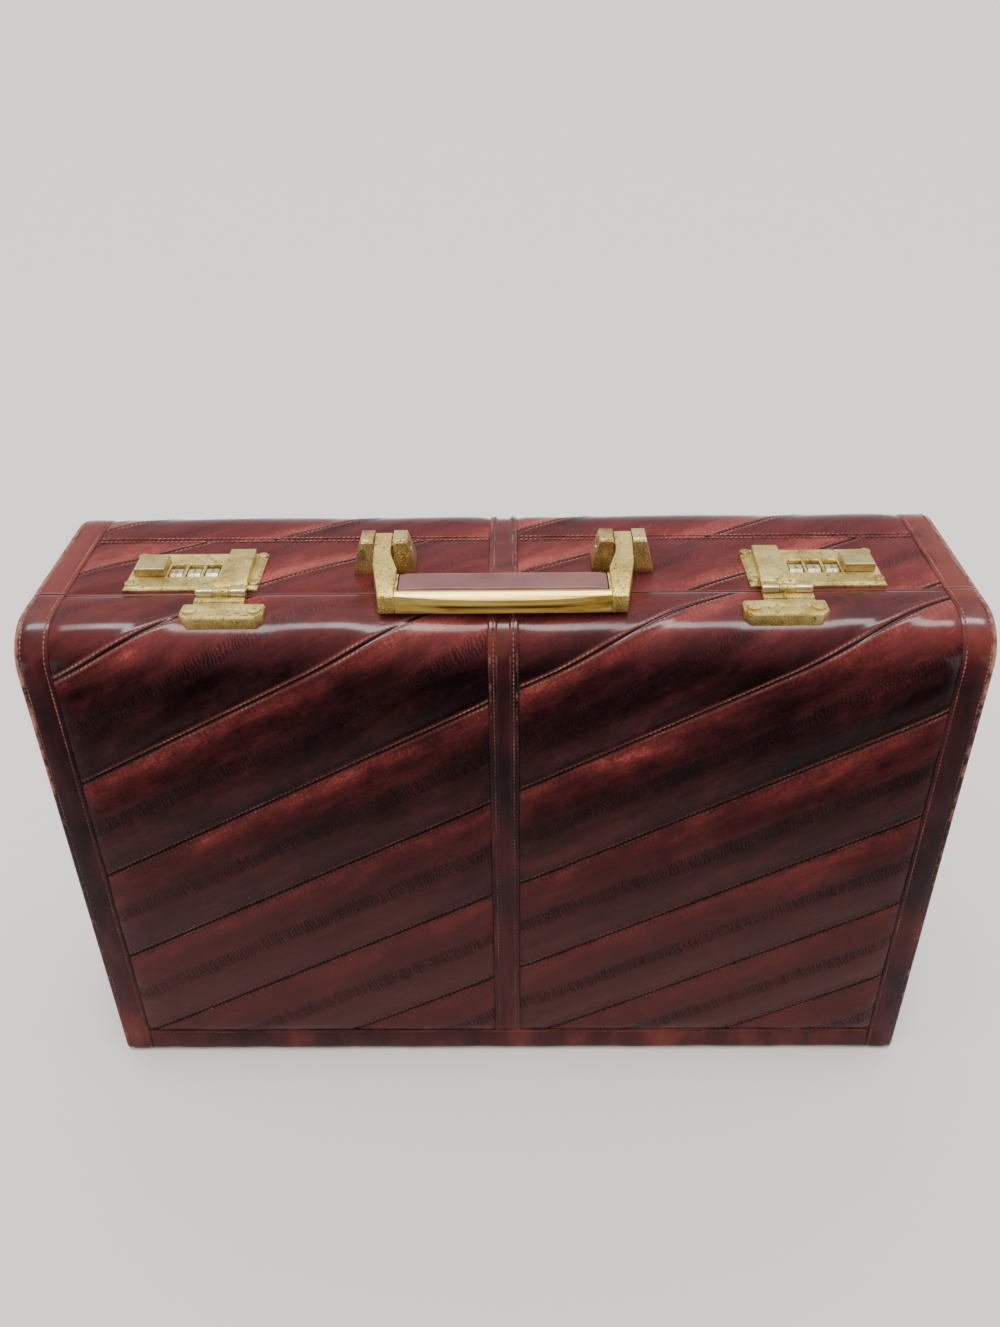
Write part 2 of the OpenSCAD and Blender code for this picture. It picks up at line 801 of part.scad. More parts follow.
// Pyramid-shaped bracket with a slot for the handle's arm
module handle_mount(side) {
  z1 = top_z + mount_h;
  zc = z1 - mount_chamfer;
  zp = top_z + mount_plinth;
  hd = mount_d / 2;
  td = mount_top_d / 2;
  hw = mount_w / 2;
  tw = mount_top_w / 2;
  cd = td + mount_chamfer;
  color("#a98b3f") centred() on_side(side) difference() {
    translate([mount_x, mount_y, 0]) intersection() {
      slab_x(-hw, hw) polygon([
        [-hd, top_z], [hd, top_z], [hd, zp], [cd, zc], [td, z1], [-td, z1], [-cd, zc], [-hd, zp]
      ]);
      slab_y(-hd, hd) polygon([[-hw, top_z], [hw, top_z], [hw, zp], [tw, z1], [-tw, z1], [-hw, zp]]);
    }
    box([mount_x - slot_half, -big, pivot_z - eye_r - 1.3], [mount_x + slot_half, big, big]);
    bar_x(mount_x - hw, mount_x + hw, mount_y, pivot_z, pivot_r + pin_clear);
    handle_bolt_holes();
  }
}

module handle_mount_l() {
  handle_mount(-1);
}

module handle_mount_r() {
  handle_mount(1);
}

module handle_pins() {
  reach = mount_top_w / 2 + 0.4;
  color("#8a8067") centred() both_sides() bar_x(mount_x - reach, mount_x + reach, mount_y, pivot_z, pivot_r);
}

module handle_bolts() {
  inside_z = case_h - inner_in;
  color("#8a8067") centred() handle_bolt_places() {
    translate([0, 0, inside_z - handle_bolt_head_t])
      cylinder(r = handle_bolt_head_r, h = handle_bolt_head_t);
    translate([0, 0, inside_z - 0.5]) cylinder(r = handle_bolt_r, h = handle_bolt_z - inside_z + 0.5);
  }
}

// Tapered arm: its outline from the side cut by its outline from above
module handle_arm(side) {
  z0 = top_z + grip_z0;
  z1 = top_z + grip_z1 + pad_rise;
  front = grip_y0;
  x_in = mount_x - arm_w / 2;
  x_out = mount_x + arm_w / 2;
  color("#b9a05c") centred() on_side(side) difference() {
    intersection() {
      slab_x(grip_half, x_out + 1) {
        translate([mount_y, pivot_z]) circle(r = eye_r);
        polygon([
          [mount_y, pivot_z + eye_r], [front + 6, z1], [front, z1 - grip_bevel],
          [front, z0], [grip_y1 + arm_w / 2, z0 + 0.6], [mount_y, pivot_z - eye_r]
        ]);
      }
      translate([0, 0, top_z - 1]) linear_extrude(pivot_h + eye_r + 3)
        polygon([
          [grip_half + arm_gap, front], [grip_half + arm_gap, grip_y1 + 1], [x_in, grip_y1 + 15],
          [x_in, mount_y + eye_r + 1], [x_out, mount_y + eye_r + 1], [x_out, mount_y - eye_r],
          [x_out - 0.8, grip_y1 + 5.5], [grip_half + 7.7, front]
        ]);
    }
    bar_x(mount_x - arm_w, mount_x + arm_w, mount_y, pivot_z, pivot_r + pin_clear);
  }
}

module handle_arm_l() {
  handle_arm(-1);
}

module handle_arm_r() {
  handle_arm(1);
}

// Outline of the grip from above, with its bowed front
module grip_plan(margin) {
  steps = 16;
  half = grip_half - margin;
  front = [for (i = [0 : steps])
    let (u = 2 * i / steps - 1)
    [half * u, grip_y0 + margin - grip_bow * (1 - u * u)]];
  polygon(concat(front, [[half, grip_y1 - margin], [-half, grip_y1 - margin]]));
}

module grip_bar() {
  z0 = top_z + grip_z0;
  z1 = top_z + grip_z1;
  front = grip_y0 - grip_bow;
  color("#c2a24c") centred() difference() {
    intersection() {
      slab_x(-grip_half, grip_half) polygon([
        [front, z0 + 1.5], [front, z1 - grip_bevel], [grip_y0 + grip_bevel_d - grip_bow / 2, z1],
        [grip_y1 - 1, z1], [grip_y1, z1 - 1], [grip_y1, z0 + 2.5], [grip_y1 - 3, z0], [front + 3, z0]
      ]);
      translate([0, 0, top_z]) linear_extrude(grip_z1 + 5) grip_plan(0);
    }
    translate([0, 0, z1 - pad_sink]) linear_extrude(pad_sink + 5) pad_plan(0);
  }
}

module pad_plan(margin) {
  half = grip_half - pad_edge - margin;
  translate([-half, grip_y0 + grip_bevel_d + margin])
    square([2 * half, grip_d - grip_bevel_d - pad_edge - 2 * margin]);
}

// Leather inlay on top of the grip
module grip_pad() {
  color("#7d5550") centred() translate([0, 0, top_z + grip_z1 - pad_sink])
    linear_extrude(pad_sink + pad_rise) pad_plan(0.05);
}

module stay_bracket(pivot, x_stud) {
  wall_x = case_w / 2 - inner_in;
  color("#b79a4c") centred() {
    slab_x(wall_x - bracket_t, wall_x) translate(pivot) {
      circle(r = stay_eye_r + 0.5);
      translate([-stay_eye_r, 0]) square([2 * stay_eye_r, bracket_h]);
    }
    bar_x(x_stud + stay_t + 0.2, wall_x - bracket_t + 0.1, pivot[0], pivot[1], stay_pin_r + 1.2);
    bar_x(x_stud - 0.3, wall_x - bracket_t, pivot[0], pivot[1], stay_pin_r);
    bar_x(x_stud - 0.2 - rivet_lip, x_stud - 0.2, pivot[0], pivot[1], stay_pin_r + 1.3);
  }
}

module stay_brackets_base() {
  both_sides() stay_bracket(base_pivot, stay_x - stay_t);
}

module stay_brackets_lid() {
  both_sides() stay_bracket(lid_pivot, stay_bx - stay_t);
}

// Flat bar with round ends between two pivots
module stay_bar(p, q, x1, hole_p, hole_q) {
  length = norm(q - p);
  turn = atan2(q[1] - p[1], q[0] - p[0]);
  slab_x(x1 - stay_t, x1) difference() {
    union() {
      translate(p) rotate(turn) translate([0, -stay_w / 2]) square([length, stay_w]);
      for (eye = [p, q]) translate(eye) circle(r = stay_eye_r);
    }
    if (hole_p > 0) translate(p) circle(r = hole_p);
    if (hole_q > 0) translate(q) circle(r = hole_q);
  }
}

// Lower stay bar, with the knee's rivet fixed in it
module stay_lower(side) {
  color("#b79a4c") centred() on_side(side) {
    stay_bar(base_pivot, knee, stay_x, stay_pin_r + pin_clear, 0);
    bar_x(stay_bx - stay_t - 0.3, stay_x - stay_t + 0.1, knee[0], knee[1], stay_pin_r);
    bar_x(stay_bx - stay_t - 0.2 - rivet_lip, stay_bx - stay_t - 0.2, knee[0], knee[1], stay_pin_r + 1.3);
  }
}

module stay_lower_l() {
  stay_lower(-1);
}

module stay_lower_r() {
  stay_lower(1);
}

module stay_upper(side) {
  color("#c9ad62") centred() on_side(side)
    stay_bar(knee, lid_pivot, stay_bx, stay_pin_r + pin_clear, stay_pin_r + stay_open_clear);
}

module stay_upper_l() {
  stay_upper(-1);
}

module stay_upper_r() {
  stay_upper(1);
}

module lid_boards() {
  color("burlywood") centred() difference() {
    boards(half_gap + skin_t, -1, lid_d);
    hinge_room();
    hinge_screw_holes(-1);
    rivet_holes();
  }
}

module lid_leather() {
  color("#7a2f2c") centred() difference() {
    leather(-1);
    rivet_holes();
  }
}

module lid_end_bindings() {
  color("#5e2623") centred() end_bindings(-1);
}

module lid_strap() {
  color("#5e2623") centred() strap(-1);
}

module lid_foot_strip() {
  color("#5e2623") centred() foot_strip(-1);
}

module lid_lining() {
  color("#8d7a5f") centred() difference() {
    lining(-1);
    rivet_holes();
  }
}

// Riveted plate on the lid with the middle knuckle of the hasp
module hasp_plate(side) {
  x0 = hasp_x - hasp_w / 2;
  x1 = hasp_x + hasp_w / 2;
  c = hasp_corner;
  kx0 = barrel_x0 + knuckle_w + knuckle_play;
  kx1 = barrel_x1 - knuckle_w - knuckle_play;
  lip_y = -barrel_y - barrel_r - slide_clear;
  color("#b79a4c") centred() on_side(side) difference() {
    union() {
      intersection() {
        bevel_slab(x0, x1, -hasp_y1, -hasp_y0, case_h - roll_r, top_z + hasp_h, 0.7);
        translate([0, 0, case_h / 2]) linear_extrude(case_h) polygon([
          [x0 + c, -hasp_y1], [x1 - c, -hasp_y1], [x1, c - hasp_y1], [x1, -hasp_y0 - c / 2],
          [x1 - c / 2, -hasp_y0], [x0 + c / 2, -hasp_y0], [x0, -hasp_y0 - c / 2], [x0, c - hasp_y1]
        ]);
      }
      box([barrel_x0, -hasp_y0 - 0.5, top_z], [barrel_x1, lip_y - 3, top_z + neck_t]);
      box([barrel_x0, lip_y - 4, top_z], [barrel_x1, lip_y, top_z + leaf_lip_t]);
      box([kx0, lip_y - 1, top_z + slide_clear], [kx1, -barrel_y, top_z + leaf_lip_t]);
      bar_x(kx0, kx1, -barrel_y, barrel_cz, barrel_r);
    }
    case_solid(skin_in);
    bar_x(kx0 - 1, kx1 + 1, -barrel_y, barrel_cz, hasp_pin_r + pin_clear);
    rivet_holes();
  }
}

module hasp_plate_l() {
  hasp_plate(-1);
}

module hasp_plate_r() {
  hasp_plate(1);
}

module hasp_pins() {
  color("#8a8067") centred() both_sides() bar_x(barrel_x0, barrel_x1, -barrel_y, barrel_cz, hasp_pin_r);
}

module hasp_rivets() {
  color("#c9ad62") centred() rivet_places() {
    translate([0, 0, top_z + hasp_h]) cylinder(r = rivet_head_r, h = rivet_head_t);
    translate([0, 0, rivet_tail_z]) cylinder(r = rivet_r, h = top_z + hasp_h + 0.5 - rivet_tail_z);
    translate([0, 0, rivet_tail_z - 0.8]) cylinder(r = rivet_tail_r, h = 0.9);
  }
}

// Sprung flap that folds over the lock plate, with its catch underneath
module flap(side) {
  z0 = flap_z0;
  z1 = z0 + flap_t;
  y0 = flap_root - barrel_y;
  step_y = y0 + 4.5;
  wide = barrel_w - 4;
  color("#bfa254") centred() on_side(side) difference() {
    union() {
      for (x = [barrel_x0, barrel_x1 - knuckle_w]) {
        bar_x(x, x + knuckle_w, -barrel_y, barrel_cz, barrel_r);
        box([x, -barrel_y, barrel_cz], [x + knuckle_w, y0 + 1, barrel_cz + barrel_r - 0.2]);
      }
      intersection() {
        slab_x(barrel_x0, barrel_x1)
          polygon([[y0, z0], [flap_reach, z0], [flap_reach, z1], [step_y, z1], [y0, z0 + flap_t / 2]]);
        translate([0, 0, top_z]) linear_extrude(20) polygon([
          [barrel_x0, y0], [barrel_x1, y0], [barrel_x0 + wide, y0 + 2.5],
          [flap_x0 + flap_w, step_y + 2], [flap_x0 + flap_w - 0.8, flap_reach],
          [flap_x0 + 1, flap_reach], [flap_x0, step_y], [barrel_x0, y0 + 2.5]
        ]);
      }
      box([catch_x - catch_w / 2, bolt_y - catch_w / 2, top_z - catch_drop],
          [catch_x + catch_w / 2, bolt_y + catch_w / 2, z0 + 1]);
    }
    bar_x(barrel_x0 - 1, barrel_x1 + 1, -barrel_y, barrel_cz, hasp_pin_r + pin_clear);
  }
}

module flap_l() {
  flap(-1);
}

module flap_r() {
  flap(1);
}

// Square button on its stem
module lock_button(side) {
  z0 = plate_top + 0.2;
  hw = button_w / 2;
  hd = button_d / 2;
  color("#c2a24c") centred() on_side(side) {
    bevel_slab(button_x - hw, button_x + hw, button_y - hd, button_y + hd, z0, plate_top + button_h, 0.6);
    box([stem_x - stem_w / 2, wheel_y - stem_w / 2, bolt_z + bolt_r],
        [stem_x + stem_w / 2, wheel_y + stem_w / 2, z0 + 1]);
  }
}

module lock_button_l() {
  lock_button(-1);
}

module lock_button_r() {
  lock_button(1);
}

// Rod with its nose, spring collar and the foot that joins it to the button
module latch_bolt(side) {
  nose_h = 1.6;
  nose_x1 = rib_x0 - button_travel - slide_clear;
  color("#8f8a80") centred() on_side(side) {
    box([nose_x, bolt_y - nose_h, bolt_z - 1], [nose_x1, bolt_y + nose_h, bolt_z + 1]);
    bar_x(nose_x1 - 0.3, stem_x, bolt_y, bolt_z, bolt_r);
    bar_x(spring_x0 - 1, spring_x0, bolt_y, bolt_z, collar_r);
    box([stem_x - stem_w / 2, bolt_y - bolt_r, bolt_z - bolt_r],
        [stem_x + stem_w / 2, wheel_y + stem_w / 2, bolt_z + bolt_r]);
  }
}

module latch_bolt_l() {
  latch_bolt(-1);
}

module latch_bolt_r() {
  latch_bolt(1);
}

// Ten-sided number wheel with a hub that spaces it from its neighbours
module number_wheel(side, place) {
  x = wheel_x2 + (place - 2) * wheel_pitch;
  hub_w = wheel_pitch - 0.2;
  color("#e8e0c4") centred() on_side(side) difference() {
    union() {
      translate([x - wheel_w / 2, wheel_y, wheel_z]) rotate([18, 0, 0]) rotate([0, 90, 0])
        cylinder(r = wheel_r, h = wheel_w, $fn = 10);
      bar_x(x - hub_w / 2, x + hub_w / 2, wheel_y, wheel_z, hub_r);
    }
    bar_x(x - wheel_pitch, x + wheel_pitch, wheel_y, wheel_z, axle_r + pin_clear);
  }
}

module wheel_l1() {
  number_wheel(-1, 1);
}

module wheel_l2() {
  number_wheel(-1, 2);
}

module wheel_l3() {
  number_wheel(-1, 3);
}

module wheel_r1() {
  number_wheel(1, 1);
}

module wheel_r2() {
  number_wheel(1, 2);
}

module wheel_r3() {
  number_wheel(1, 3);
}

base_boards();
base_band_leather();
base_back_leather();
base_end_bindings();
base_strap();
base_foot_strip();
base_lining();
rim_lip();
hinge_leaf_base();
hinge_pin();
hinge_screws_base();
lock_plate_l();
lock_plate_r();
lock_case_l();
lock_case_r();
wheel_axles();
lock_spring_l();
lock_spring_r();
lock_screws();
handle_mount_l();
handle_mount_r();
handle_pins();
handle_bolts();
stay_brackets_base();
lid_boards();
lid_leather();
lid_end_bindings();
lid_strap();
lid_foot_strip();
lid_lining();
hinge_leaf_lid();
hinge_screws_lid();
hasp_plate_l();
hasp_plate_r();
hasp_pins();
hasp_rivets();
stay_brackets_lid();
handle_arm_l();
handle_arm_r();
grip_bar();
grip_pad();
flap_l();
flap_r();
lock_button_l();
lock_button_r();
latch_bolt_l();
latch_bolt_r();
wheel_l1();
wheel_l2();
wheel_l3();
wheel_r1();
wheel_r2();
wheel_r3();
stay_lower_l();
stay_lower_r();
stay_upper_l();
stay_upper_r();
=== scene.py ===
import json
import math

import bpy
import numpy as np
from mathutils import Matrix, Vector

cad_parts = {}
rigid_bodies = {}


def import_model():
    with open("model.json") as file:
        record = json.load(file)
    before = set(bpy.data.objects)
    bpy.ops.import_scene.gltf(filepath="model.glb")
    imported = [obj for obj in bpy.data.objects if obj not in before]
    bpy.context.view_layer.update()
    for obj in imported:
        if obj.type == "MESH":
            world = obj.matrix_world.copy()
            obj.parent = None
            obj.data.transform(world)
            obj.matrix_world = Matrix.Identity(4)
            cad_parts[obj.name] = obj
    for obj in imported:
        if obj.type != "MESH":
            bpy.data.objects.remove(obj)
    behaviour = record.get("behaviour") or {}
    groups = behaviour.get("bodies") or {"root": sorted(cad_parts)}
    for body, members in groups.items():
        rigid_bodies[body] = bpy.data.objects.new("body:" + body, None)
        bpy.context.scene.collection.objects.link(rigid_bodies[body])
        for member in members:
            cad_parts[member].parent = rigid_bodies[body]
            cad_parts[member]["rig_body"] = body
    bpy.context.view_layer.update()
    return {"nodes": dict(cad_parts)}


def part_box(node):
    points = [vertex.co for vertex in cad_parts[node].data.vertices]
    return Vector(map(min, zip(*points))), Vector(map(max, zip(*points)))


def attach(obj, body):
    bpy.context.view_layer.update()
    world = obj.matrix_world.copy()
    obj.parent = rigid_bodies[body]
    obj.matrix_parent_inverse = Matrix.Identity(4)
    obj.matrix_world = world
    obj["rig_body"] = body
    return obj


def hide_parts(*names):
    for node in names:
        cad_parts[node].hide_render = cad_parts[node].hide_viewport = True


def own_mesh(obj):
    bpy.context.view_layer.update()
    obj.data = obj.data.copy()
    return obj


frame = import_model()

bpy.ops.object.select_all(action="DESELECT")


# The camera stands where the photograph's did: half a metre in front of the case and above it, looking
# down about 34 degrees. Its place was fitted to the case's edges and hardware.
eye = Vector((0.00448, -0.50923, 0.57566))
pitch, yaw, tilt = 0.5915, -0.0136, -0.0141
FILM_WIDTH, FOCAL_RATIO = 36, 1.15128
ahead = Vector((math.sin(yaw) * math.cos(pitch), math.cos(yaw) * math.cos(pitch), -math.sin(pitch)))
level = ahead.cross(Vector((0, 0, 1))).normalized()
rise = level.cross(ahead)
across = level * math.cos(tilt) + rise * math.sin(tilt)
upward = rise * math.cos(tilt) - level * math.sin(tilt)
bpy.ops.object.camera_add()
camera = bpy.context.object
camera.matrix_world = Matrix.Translation(eye) @ Matrix((across, upward, -ahead)).transposed().to_4x4()
camera.data.sensor_fit = "HORIZONTAL"
camera.data.sensor_width = FILM_WIDTH
camera.data.lens = FILM_WIDTH * FOCAL_RATIO
camera.data.clip_start = 0.01
bpy.context.scene.camera = camera


# The studio: a pale matt floor in a room with a bright wall behind the case and a dim side in front, lit
# by a broad window and a soft ceiling. A long ceiling tube draws the bright line along the roll, and a black
# flag on the floor in front, seen in reflections only, keeps the upper part of the face dark.
def plug(node, **sockets):
    """Fills a node's sockets, each with a value or with another node's output."""
    for key, value in sockets.items():
        target = node.inputs[int(key[1:])] if key[0] == "_" else node.inputs[key.replace("_", " ")]
        if isinstance(value, bpy.types.NodeSocket):
            node.id_data.links.new(value, target)
        else:
            target.default_value = value
    return node


def add(tree, kind, settings=None, **sockets):
    """Adds a node with its settings and its sockets filled."""
    made = tree.nodes.new(kind)
    for key, value in (settings or {}).items():
        setattr(made, key, value)
    return plug(made, **sockets)


def new_finish(name, **sockets):
    """Starts a finish: a new material, its node tree and its shader."""
    made = bpy.data.materials.new(name)
    made.use_nodes = True
    return made, made.node_tree, plug(made.node_tree.nodes["Principled BSDF"], **sockets)


bpy.ops.mesh.primitive_plane_add(size=60, location=(0, 0, -0.0002))
floor = bpy.context.object
floor.name = "studio_floor"
pale = new_finish("pale_floor", Base_Color=(0.90, 0.86, 0.82, 1), Roughness=0.9)[0]
floor.data.materials.append(pale)
bpy.ops.mesh.primitive_plane_add(size=1)
flag = bpy.context.object
for corner in flag.data.vertices:
    near = corner.co.y > 0
    corner.co = (math.copysign(0.55 if near else 28, corner.co.x), -0.32 if near else -60, 0.0005)
flag.name = "black_flag"
black = new_finish("black_felt", Base_Color=(0.01, 0.01, 0.01, 1), Specular_IOR_Level=0.0)[0]
flag.data.materials.append(black)
flag.visible_camera = flag.visible_diffuse = flag.visible_shadow = flag.visible_transmission = False
for name, power, spread, tint, falls in (
    ("window_light", 1.9, 60, (1.0, 0.985, 0.96), (0.10, 0.50, -0.86)),
    ("ceiling_light", 1.7, 16, (1.0, 0.96, 0.92), (-0.03, 0.02, -1.0)),
):
    lamp = bpy.data.lights.new(name, "SUN")
    lamp.energy, lamp.angle, lamp.color = power, math.radians(spread), tint
    holder = bpy.data.objects.new(name, lamp)
    holder.rotation_euler = Vector(falls).to_track_quat("-Z", "Y").to_euler()
    holder.visible_glossy = False
    bpy.context.collection.objects.link(holder)
tube = bpy.data.lights.new("ceiling_tube", "AREA")
tube.shape, tube.size, tube.size_y, tube.energy, tube.color = "RECTANGLE", 3.4, 0.6, 80, (1.0, 0.97, 0.95)
holder = bpy.data.objects.new("ceiling_tube", tube)
holder.location = (0, -0.03, 2.8)
holder.visible_diffuse = False
bpy.context.collection.objects.link(holder)
room = bpy.data.worlds.new("room")
bpy.context.scene.world = room
room.use_nodes = True
sky = room.node_tree
ray = add(sky, "ShaderNodeSeparateXYZ", _0=add(sky, "ShaderNodeTexCoord").outputs["Generated"])
wall = add(sky, "ShaderNodeMapRange", {"interpolation_type": "SMOOTHSTEP"}, Value=ray.outputs["Y"],
           From_Min=-0.55, From_Max=0.35, To_Min=0.16, To_Max=0.95)
seen = add(sky, "ShaderNodeMix", _0=add(sky, "ShaderNodeLightPath").outputs["Is Camera Ray"],
           _2=wall.outputs[0], _3=0.95)
plug(sky.nodes["Background"], Strength=seen.outputs[0], Color=(0.94, 0.96, 1.0, 1))


# Boards: thin plywood glued into two trays, base and lid. It only shows in the notches where the flaps'
# catches enter, but it is finished with its own grain.
def own_place(tree):
    """Where a point lies on its own piece, which never moves against its pattern."""
    return add(tree, "ShaderNodeTexCoord").outputs["Object"]


def tint_ramp(tree, value, stops):
    """A colour ramp over the given (position, colour) stops."""
    ramp = add(tree, "ShaderNodeValToRGB", _0=value)
    ramp.color_ramp.elements[0].position, ramp.color_ramp.elements[0].color = stops[0][0], (*stops[0][1], 1)
    ramp.color_ramp.elements[1].position, ramp.color_ramp.elements[1].color = stops[-1][0], (*stops[-1][1], 1)
    for place, colour in stops[1:-1]:
        ramp.color_ramp.elements.new(place).color = (*colour, 1)
    return ramp.outputs["Color"]


def mottle(tree, source, scale, detail=4.0, roughness=0.55):
    """Noise at the given place, with its own scale on each axis."""
    placed = add(tree, "ShaderNodeMapping", Vector=source, Scale=scale)
    return add(tree, "ShaderNodeTexNoise", Vector=placed.outputs[0], Scale=1.0, Detail=detail,
               Roughness=roughness).outputs["Fac"]


def roughen(tree, surface, height, distance, strength=1.0):
    """Feeds a height through a bump node into the surface's normal."""
    plug(surface, Normal=add(tree, "ShaderNodeBump", Height=height, Distance=distance,
                             Strength=strength).outputs["Normal"])


def paint(material, *names):
    """Gives CAD nodes one material in all their slots."""
    for name in names:
        mesh = nodes[name].data
        mesh.materials.clear()
        mesh.materials.append(material)
        for face in mesh.polygons:
            face.material_index = 0


nodes = frame["nodes"]
plywood, tree, surface = new_finish("plywood", Roughness=0.7)
grain = mottle(tree, own_place(tree), (14, 300, 300), 6)
plug(surface, Base_Color=tint_ramp(tree, grain, [(0.3, (0.30, 0.17, 0.08)), (0.7, (0.52, 0.34, 0.18))]))
roughen(tree, surface, grain, 0.0004)
paint(plywood, "base_boards", "lid_boards")


# Linings: thin brushed cloth, light tan, glued to the boards inside both halves. It is plain, and its
# threads are about a millimetre apart.
def maths(tree, operation, *values):
    """The result of one step of arithmetic on two or three values."""
    sockets = {"_%d" % place: value for place, value in enumerate(values)}
    return add(tree, "ShaderNodeMath", {"operation": operation}, **sockets).outputs[0]


def new_group(name, inputs, outputs):
    """A shared effect: a node group that takes a place and the given values, and puts out values."""
    group = bpy.data.node_groups.new(name, "ShaderNodeTree")
    group.interface.new_socket("Coordinates", in_out="INPUT", socket_type="NodeSocketVector")
    for direction, names in (("INPUT", inputs), ("OUTPUT", outputs)):
        for socket in names:
            group.interface.new_socket(socket, in_out=direction, socket_type="NodeSocketFloat")
    start, end = group.nodes.new("NodeGroupInput"), group.nodes.new("NodeGroupOutput")
    return group, start.outputs, end


def use_group(tree, group, **sockets):
    """Places a shared effect in a material, on the piece's own coordinates."""
    made = tree.nodes.new("ShaderNodeGroup")
    made.node_tree = group
    return plug(made, Coordinates=own_place(tree), **sockets).outputs


def weave(name, thread):
    """The height and shade of a fine cloth of the given thread spacing."""
    group, given, end = new_group(name, (), ("Height", "Shade"))
    metre_band = 0.314        # the texture's scale at which its bands are a metre apart
    warp, weft = (add(group, "ShaderNodeTexWave", {"bands_direction": axis}, Vector=given[0],
                      Scale=metre_band / thread, Distortion=1.5, Detail=2.0, Detail_Scale=3.0).outputs["Fac"]
                  for axis in "XZ")
    high = maths(group, "MAXIMUM", warp, weft)
    plug(end, Height=high, Shade=maths(group, "MULTIPLY", high, mottle(group, given[0], (9, 9, 9))))
    return group


lining, tree, surface = new_finish("lining_cloth", Roughness=0.95, Sheen_Weight=0.4)
cloth = use_group(tree, weave("fine_cloth", 0.0009))
plug(surface, Base_Color=tint_ramp(tree, cloth["Shade"], [(0.1, (0.20, 0.13, 0.08)), (0.6, (0.42, 0.31, 0.20))]))
roughen(tree, surface, cloth["Height"], 0.0002)
paint(lining, "base_lining", "lid_lining")


# The covering: strips of polished eel skin, sewn edge to edge on a slant, drawn over thin felt and glued
# to the boards in two panels per half, one on each side of the centre strap. Each skin has a comb of
# short wrinkles along its middle, and is painted with light and shade: bright along its upper edge, where its crown
# turns up to the light, and nearly black along the lower one.
PART_Y = -0.0295          # the line where lid and base meet
CASE_TOP = 0.295
COVER = 0.0008            # how deep the covering lies under the trim
ROLL, FOOT = 0.022, 0.004
LID_DEPTH, BASE_DEPTH = 0.0365, 0.0955
FACE_LOW = 0.0172         # where the panels end under the foot strips
STRAP_SIDE, BIND_SIDE = 0.0062, 0.2128


def remap(tree, value, low, high, to_low=0.0, to_high=1.0):
    """Carries a value from one range to another, and holds it inside the new one."""
    return add(tree, "ShaderNodeMapRange", Value=value, From_Min=low, From_Max=high, To_Min=to_low,
               To_Max=to_high).outputs[0]


def tinted(tree, amount, colour, other):
    """Lays another colour over a colour by an amount."""
    return add(tree, "ShaderNodeMix", {"data_type": "RGBA"}, _0=amount, _6=colour, _7=(*other, 1)).outputs[2]


def polish(name):
    """Where hands keep the leather polished: the rolls above all, the lips of the parting, the top less."""
    group, given, end = new_group(name, (), ("Polish",))
    spot = add(group, "ShaderNodeSeparateXYZ", _0=given[0]).outputs
    near_roll = remap(group, maths(group, "ABSOLUTE", spot["Y"]), 0.042, 0.050, 0.15)
    patches = remap(group, mottle(group, given[0], (28, 90, 90), 4), 0.3, 0.6, 0.45)
    on_top = maths(group, "MULTIPLY", remap(group, spot["Z"], 0.266, 0.284),
                   maths(group, "MULTIPLY", near_roll, patches))
    from_parting = maths(group, "ABSOLUTE", maths(group, "ADD", spot["Y"], -PART_Y))
    lip = remap(group, from_parting, 0.0022, 0.0012)
    plug(end, Polish=maths(group, "MAXIMUM", on_top, lip))
    return group


roll_polish = polish("roll_polish")


def old_leather(name, deep, mid, bright, shine=0.32):
    """Leather on its own coordinates, painted lighter on the top and darker up the face, with wear from the piece's
    own attribute where it has one.
    """
    made, tree, surface = new_finish(name, Coat_Roughness=0.16, Specular_IOR_Level=0.12)
    own = own_place(tree)
    streak = mottle(tree, own, (60, 60, 22), 5)
    cloud = mottle(tree, own, (16, 16, 9), 3)
    pores = add(tree, "ShaderNodeTexVoronoi", Vector=own, Scale=1400.0).outputs["Distance"]
    tall = add(tree, "ShaderNodeSeparateXYZ", _0=own).outputs["Z"]
    tone_and_painted_light = maths(tree, "MULTIPLY_ADD", streak, 0.5, maths(tree, "MULTIPLY", cloud, 0.5))
    # Painted light and shade by height: lighter on the top, darker up the face than near the floor.
    tone_and_painted_light = maths(tree, "ADD", tone_and_painted_light, remap(tree, tall, 0.262, 0.288, 0, 0.27))
    tone_and_painted_light = maths(tree, "ADD", tone_and_painted_light, remap(tree, tall, 0.02, 0.20, 0, -0.14))
    dye_and_painted_light = tint_ramp(tree, tone_and_painted_light, [(0.34, deep), (0.5, mid), (0.68, bright)])
    wear = add(tree, "ShaderNodeAttribute", {"attribute_name": "wear"}).outputs["Fac"]
    patchy = maths(tree, "MULTIPLY", wear, mottle(tree, own, (190, 190, 190), 6))
    plug(surface, Base_Color=tinted(tree, remap(tree, patchy, 0.34, 0.60), dye_and_painted_light, (0.40, 0.175, 0.11)),
         Roughness=remap(tree, cloud, 0.3, 0.7, shine - 0.07, shine + 0.12),
         Coat_Weight=use_group(tree, roll_polish)[0])
    roughen(tree, surface, maths(tree, "MULTIPLY_ADD", pores, 0.25, streak), 0.0005, 0.6)
    return made


plain_eel = old_leather("plain_eel_skin", (0.02, 0.005, 0.008), (0.08, 0.015, 0.014), (0.18, 0.035, 0.022), 0.28)


def edit_whole():
    """Opens the active mesh for editing, with all of it selected."""
    bpy.ops.object.mode_set(mode="EDIT")
    bpy.ops.mesh.select_all(action="SELECT")


def close_edit():
    """Leaves edit mode, which writes the mesh back."""
    bpy.ops.object.mode_set(mode="OBJECT")


